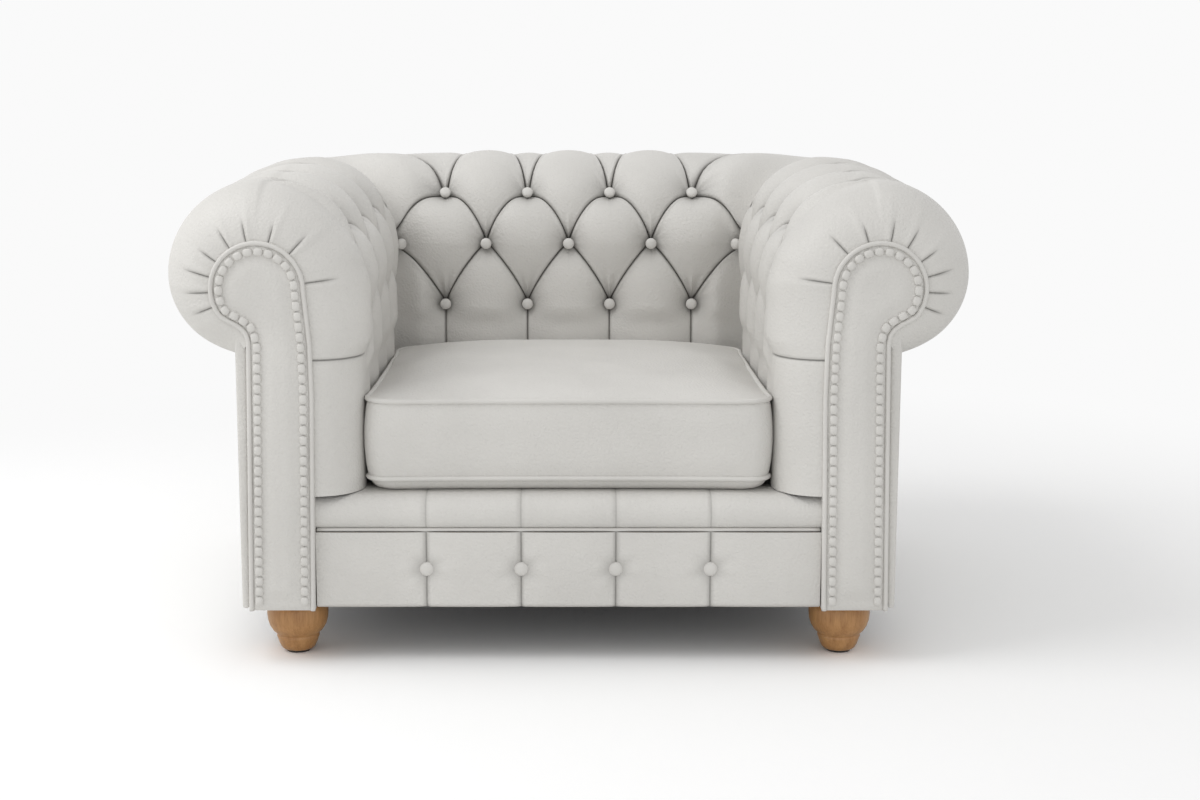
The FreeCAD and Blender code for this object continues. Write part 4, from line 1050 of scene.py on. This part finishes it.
def rail_surface():
    """Points of the buttoned rail cover, swollen between its pleats."""
    low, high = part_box("front_panel")
    columns = np.linspace(low.x - cord_reach, high.x + cord_reach, 221)
    columns = with_marks(columns, pleat_places, 0.0018)
    levels = np.linspace(0.0815, high.z, 46)
    xx, zz = np.meshgrid(columns, levels, indexing="ij")
    depth, painted_shade = np.zeros_like(xx), np.zeros_like(xx)
    stops = np.array([low.x - 0.03, *pleat_places, high.x + 0.03])
    for near, far in zip(stops[:-1], stops[1:]):
        inside = (xx >= near) & (xx <= far)
        u = np.clip((xx - near) / (far - near) * 2 - 1, -1, 1)
        depth = np.where(inside, 0.0045 * np.clip(1 - abs(u) ** 3.0, 0, 1) ** 0.7, depth)
    rise = np.clip((zz - levels[0]) / (levels[-1] - levels[0]), 0, 1)
    depth = depth * (0.55 + 0.45 * np.sin(np.pi * rise))
    for place in pleat_places:
        aside, below = xx - place, zz - rail_button_z
        away = np.hypot(aside, below)
        pit = bell(away, 0.016)
        turn = np.arctan2(below, aside)
        star = np.cos(turn * 6 + 0.5) * bell(away - 0.026, 0.014)
        groove = bell(aside, 0.0018)
        depth = depth - 0.0052 * pit + 0.0008 * star - 0.0022 * groove
        depth = depth + 0.0008 * bell(aside - 0.005, 0.0025)
        # Painted shade darkens the colour in each upright groove and in each button's pit.
        painted_shade = np.maximum(painted_shade, np.maximum(0.7 * groove, 0.45 * pit))
    turned = ease_between(zz, [levels[0], levels[0] + 0.006], [1, 0])
    grid = np.stack([xx, rail_front - depth + 0.006 * turned ** 2, zz], -1)
    hem = grid[:, :1].copy()
    hem[..., 1] = -0.441
    return np.concatenate([hem, grid], 1), np.concatenate([painted_shade[:, :1], painted_shade], 1)

grid, painted_shades = rail_surface()
rail_cover = grid_piece("buttoned_rail_cover", [(grid, False, False)], "leather", "chair",
                        "front_panel", painted_shades)
low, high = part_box("front_welt")
path = [(x, low.y + 0.0026, (low.z + high.z) / 2) for x in np.linspace(low.x, high.x, 60)]
grid_piece("rail_piping", [(tube(path, 0.0031, 10, False), True, True)], "piping_leather", "chair",
           "front_welt")
print("front edge and rail cover made")

# %% [markdown]
# ## The loose seat cushion
# It is a box cushion: two crowned panels and a band between them, joined by piped seams. Feathers
# push the panels up and the band out, the seams pull in between the corners, and the corners stay
# out as small ears. It is drawn a little lean, and a short cloth simulation with pressure and no
# gravity fills it between its seams. Its movement is capped, and evened out around the middle of
# the top, where the rings' points lie close. The cushion rides on its own body, because it lifts
# out of the chair.

# %% Cushion
cushion_half, cushion_front, cushion_back = 0.298, -0.430, 0.172
cushion_half_depth = (cushion_back - cushion_front) / 2
cushion_middle = (cushion_back + cushion_front) / 2
front_corner, rear_corner, seam_draw = 0.030, 0.065, 0.006
lower_seam, upper_seam, under_drop, crown = 0.271, 0.387, 0.0187, 0.0225

def cushion_ring(grow, draw, count=36):
    """A plan ring of the cushion: grown outwards, and drawn in along each side."""
    half_x, half_y = cushion_half + grow, cushion_half_depth + grow
    points = []
    plan = [(half_x, -half_y, front_corner), (half_x, half_y, rear_corner),
            (-half_x, half_y, rear_corner), (-half_x, -half_y, front_corner)]
    for near, far in zip(plan, plan[1:] + plan[:1]):
        start, end = np.array(near[:2]), np.array(far[:2])
        way = (end - start) / np.linalg.norm(end - start)
        inward = np.array((-way[1], way[0]))
        t = np.linspace(0, 1, count, endpoint=False)
        run = start + near[2] * way + t[:, None] * (end - start - (near[2] + far[2]) * way)
        run = run + (draw * np.sin(np.pi * t) ** 0.6)[:, None] * inward
        points.append(run)
        turn = np.linspace(0, np.pi / 2, 8, endpoint=False)[:, None]
        centre = end - far[2] * way + far[2] * inward
        points.append(centre - inward * far[2] * np.cos(turn) + way * far[2] * np.sin(turn))
    ring = np.concatenate(points)
    ring[:, 1] += cushion_middle
    return ring

def seam_drop(points):
    """How far the upper seam sinks towards the rear, and rises into ears at the front corners."""
    rear = ease_between(points[:, 1], [-0.25, cushion_back], [0, 0.007])
    ear = np.exp(-((abs(points[:, 0]) - cushion_half) / 0.035) ** 2)
    return rear - 0.002 * ear * (points[:, 1] < 0)

def cushion_points():
    """Rings of the whole cushion from the middle of its underside to the middle of its top."""
    rings, middle = [], np.array((0, cushion_middle))
    seam = cushion_ring(0.0, seam_draw)
    under = [(share, under_drop) for share in np.linspace(0.04, 0.94, 14)]
    under += [(0.94 + 0.055 * math.cos(turn), under_drop * math.sin(turn))
              for turn in np.radians(np.arange(80, 0, -10))]
    for share, drop in under:
        rings.append(np.column_stack([middle + (seam - middle) * share,
                                      np.full(len(seam), lower_seam - drop)]))
    for rise in np.linspace(0, 1, 15):
        swell = 0.006 * math.sin(math.pi * rise) ** 0.7
        ring = cushion_ring(swell, seam_draw + 0.001 * math.sin(math.pi * rise))
        level = lower_seam + rise * (upper_seam - lower_seam)
        rings.append(np.column_stack([ring, level - rise * seam_drop(ring)]))
    for share in np.cos(np.linspace(0.12, 1.53, 34)):
        flat = middle + (seam - middle) * share
        across = abs(flat - middle) / np.array((cushion_half, cushion_half_depth))
        dome = np.clip((1 - across[:, 0] ** 2.8) * (1 - across[:, 1] ** 2.4), 0, 1) ** 0.8
        puff = 0.006 * (1 - share ** 10) ** 0.5 * share
        level = upper_seam + crown * dome + puff - seam_drop(seam) * share ** 2
        rings.append(np.column_stack([flat, level]))
    return np.array(rings)

def edge_ring(level):
    """The seam's line on the cushion, where its piping lies."""
    ring = cushion_ring(0.0008, seam_draw)
    drop = seam_drop(ring) if level == upper_seam else np.zeros(len(ring))
    return np.column_stack([ring, level - drop])

def press_out(piece, held, calm, frames, most):
    """Let a filling's pressure shape a piece as cloth between its held points."""
    start = np.array([vert.co for vert in piece.data.vertices])
    seams = piece.vertex_groups.new(name="seams")
    seams.add(np.flatnonzero(held).tolist(), 1.0, "REPLACE")
    modifier = piece.modifiers.new("stuffing", "CLOTH")
    modifier.settings.vertex_group_mass = "seams"
    modifier.settings.use_pressure = True
    modifier.settings.uniform_pressure_force = 4.0
    modifier.settings.effector_weights.gravity = 0.0
    modifier.settings.quality = 6
    modifier.point_cache.frame_end = frames
    for frame_number in range(1, frames + 1):
        scene.frame_set(frame_number)
    shaped = piece.evaluated_get(bpy.context.evaluated_depsgraph_get()).data
    moved = np.array([vert.co for vert in shaped.vertices]) - start
    piece.modifiers.remove(modifier)
    piece.vertex_groups.clear()
    scene.frame_set(1)
    length = np.linalg.norm(moved, axis=1)
    moved *= np.minimum(1, most / (length + 1e-9))[:, None]
    shared = (calm[:, None] * moved).sum(0) / calm.sum()
    moved += calm[:, None] * (shared - moved)
    piece.data.vertices.foreach_set("co", (start + moved).ravel())
    print(piece.name, "moved up to", round(float(length.max()) * 1000, 1), "mm by its filling")

cushion = grid_piece("feather_cushion", [(cushion_points(), True, True)], "leather", "cushion",
                     "seat_cushion")
points = np.array([vert.co for vert in cushion.data.vertices])
places, levels = points[:, :2] - (0, cushion_middle), points[:, 2]
rim = np.max(abs(places) / (cushion_half, cushion_half_depth), axis=1) > 0.965
near_seam = np.minimum(abs(levels - lower_seam), abs(levels - upper_seam + 0.002)) < 0.006
calm = bell(np.hypot(*places.T), 0.17) * (levels > upper_seam)
press_out(cushion, (rim & near_seam) | (levels < lower_seam - 0.010), calm, 12, 0.006)
for name, node, level in (("cushion_piping_low", "cushion_bottom_cord", lower_seam),
                          ("cushion_piping_high", "cushion_top_cord", upper_seam)):
    grid_piece(name, [(tube(edge_ring(level), 0.0040), True, False)], "piping_leather", "cushion",
               node)
print("cushion seams at", lower_seam, "and", upper_seam, "m")

# %% [markdown]
# ## Platform
# Under the cushion a cloth-covered foam platform carries it. It is a slab with soft, wide-rolled
# edges, like the outside covers but without their swell, since the cushion presses it flat.

# %% Platform
slab = covered_slab("seat_platform", "seat_deck", 2, 0.0, 0.010)
platform = finish_piece("seat_platform", slab, "platform_cloth", "chair", "seat_deck")
print("platform made")

# %% [markdown]
# ## Feet
# The feet are turned buns of beech: a full bun, a bead and a small base. A profile that is turned
# round each foot's axis is how the real one comes off the lathe.

# %% Feet
foot_profile = [(0.030, 0.0800), (0.0405, 0.0795), (0.0438, 0.0760), (0.0458, 0.0690), (0.0462, 0.0600),
                (0.0452, 0.0500), (0.0425, 0.0410), (0.0375, 0.0330), (0.0322, 0.0285), (0.0312, 0.0270),
                (0.0320, 0.0258), (0.0322, 0.0235), (0.0310, 0.0205), (0.0285, 0.0130), (0.0255, 0.0070),
                (0.0225, 0.0042), (0.0185, 0.0030)]
feet = {"front_feet": -0.400, "rear_feet": 0.300}
for node, y in feet.items():
    turn = np.linspace(0, 2 * np.pi, 64, endpoint=False)
    parts = []
    for x in (-0.410, 0.410):
        rings = [np.column_stack([x + radius * np.cos(turn), y + radius * np.sin(turn),
                                  np.full(len(turn), level)])
                 for radius, level in reversed(foot_profile)]
        parts.append((np.array(rings), True, True))
    grid_piece("turned_" + node, parts, "turned_wood", "chair", node)
print("feet:", list(feet))

# %% [markdown]
# ## Parts that stay as the frame has them
# Rails, posts, boards, blocks, straps, screws and glides are plain shapes in the real chair too,
# so the frame's own solids stay and get their finish. So do the black dust cloth below the seat
# and the cushion's zip.

# %% Finishes of the frame's own parts
own_finishes = {
    "frame_timber": ["arm_stump_left", "arm_stump_right", "arm_top_rail_left", "arm_top_rail_right",
                     "back_rail", "back_top_rail", "corner_blocks", "front_rail", "rear_post_left",
                     "rear_post_right", "seat_back_rail", "seat_side_rail_left", "seat_side_rail_right",
                     "side_rail_left", "side_rail_right"],
    "bent_board": ["arm_lining_board_left", "arm_lining_board_right", "back_lining_board",
                   "arm_roll_ribs_left", "arm_roll_ribs_right", "back_roll_ribs"],
    "webbing": ["seat_straps"],
    "dust_cloth": ["dust_cover"],
    "zip_tape": ["cushion_zip"],
    "zip_metal": ["zip_slider"],
    "zinc_steel": ["foot_screws", "foot_nuts"],
    "nylon": ["glides"],
}
for finish, nodes in own_finishes.items():
    for node in nodes:
        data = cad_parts[node].data
        data.materials.clear()
        data.materials.append(finishes[finish])
print("finished", sum(len(nodes) for nodes in own_finishes.values()), "parts of the frame")
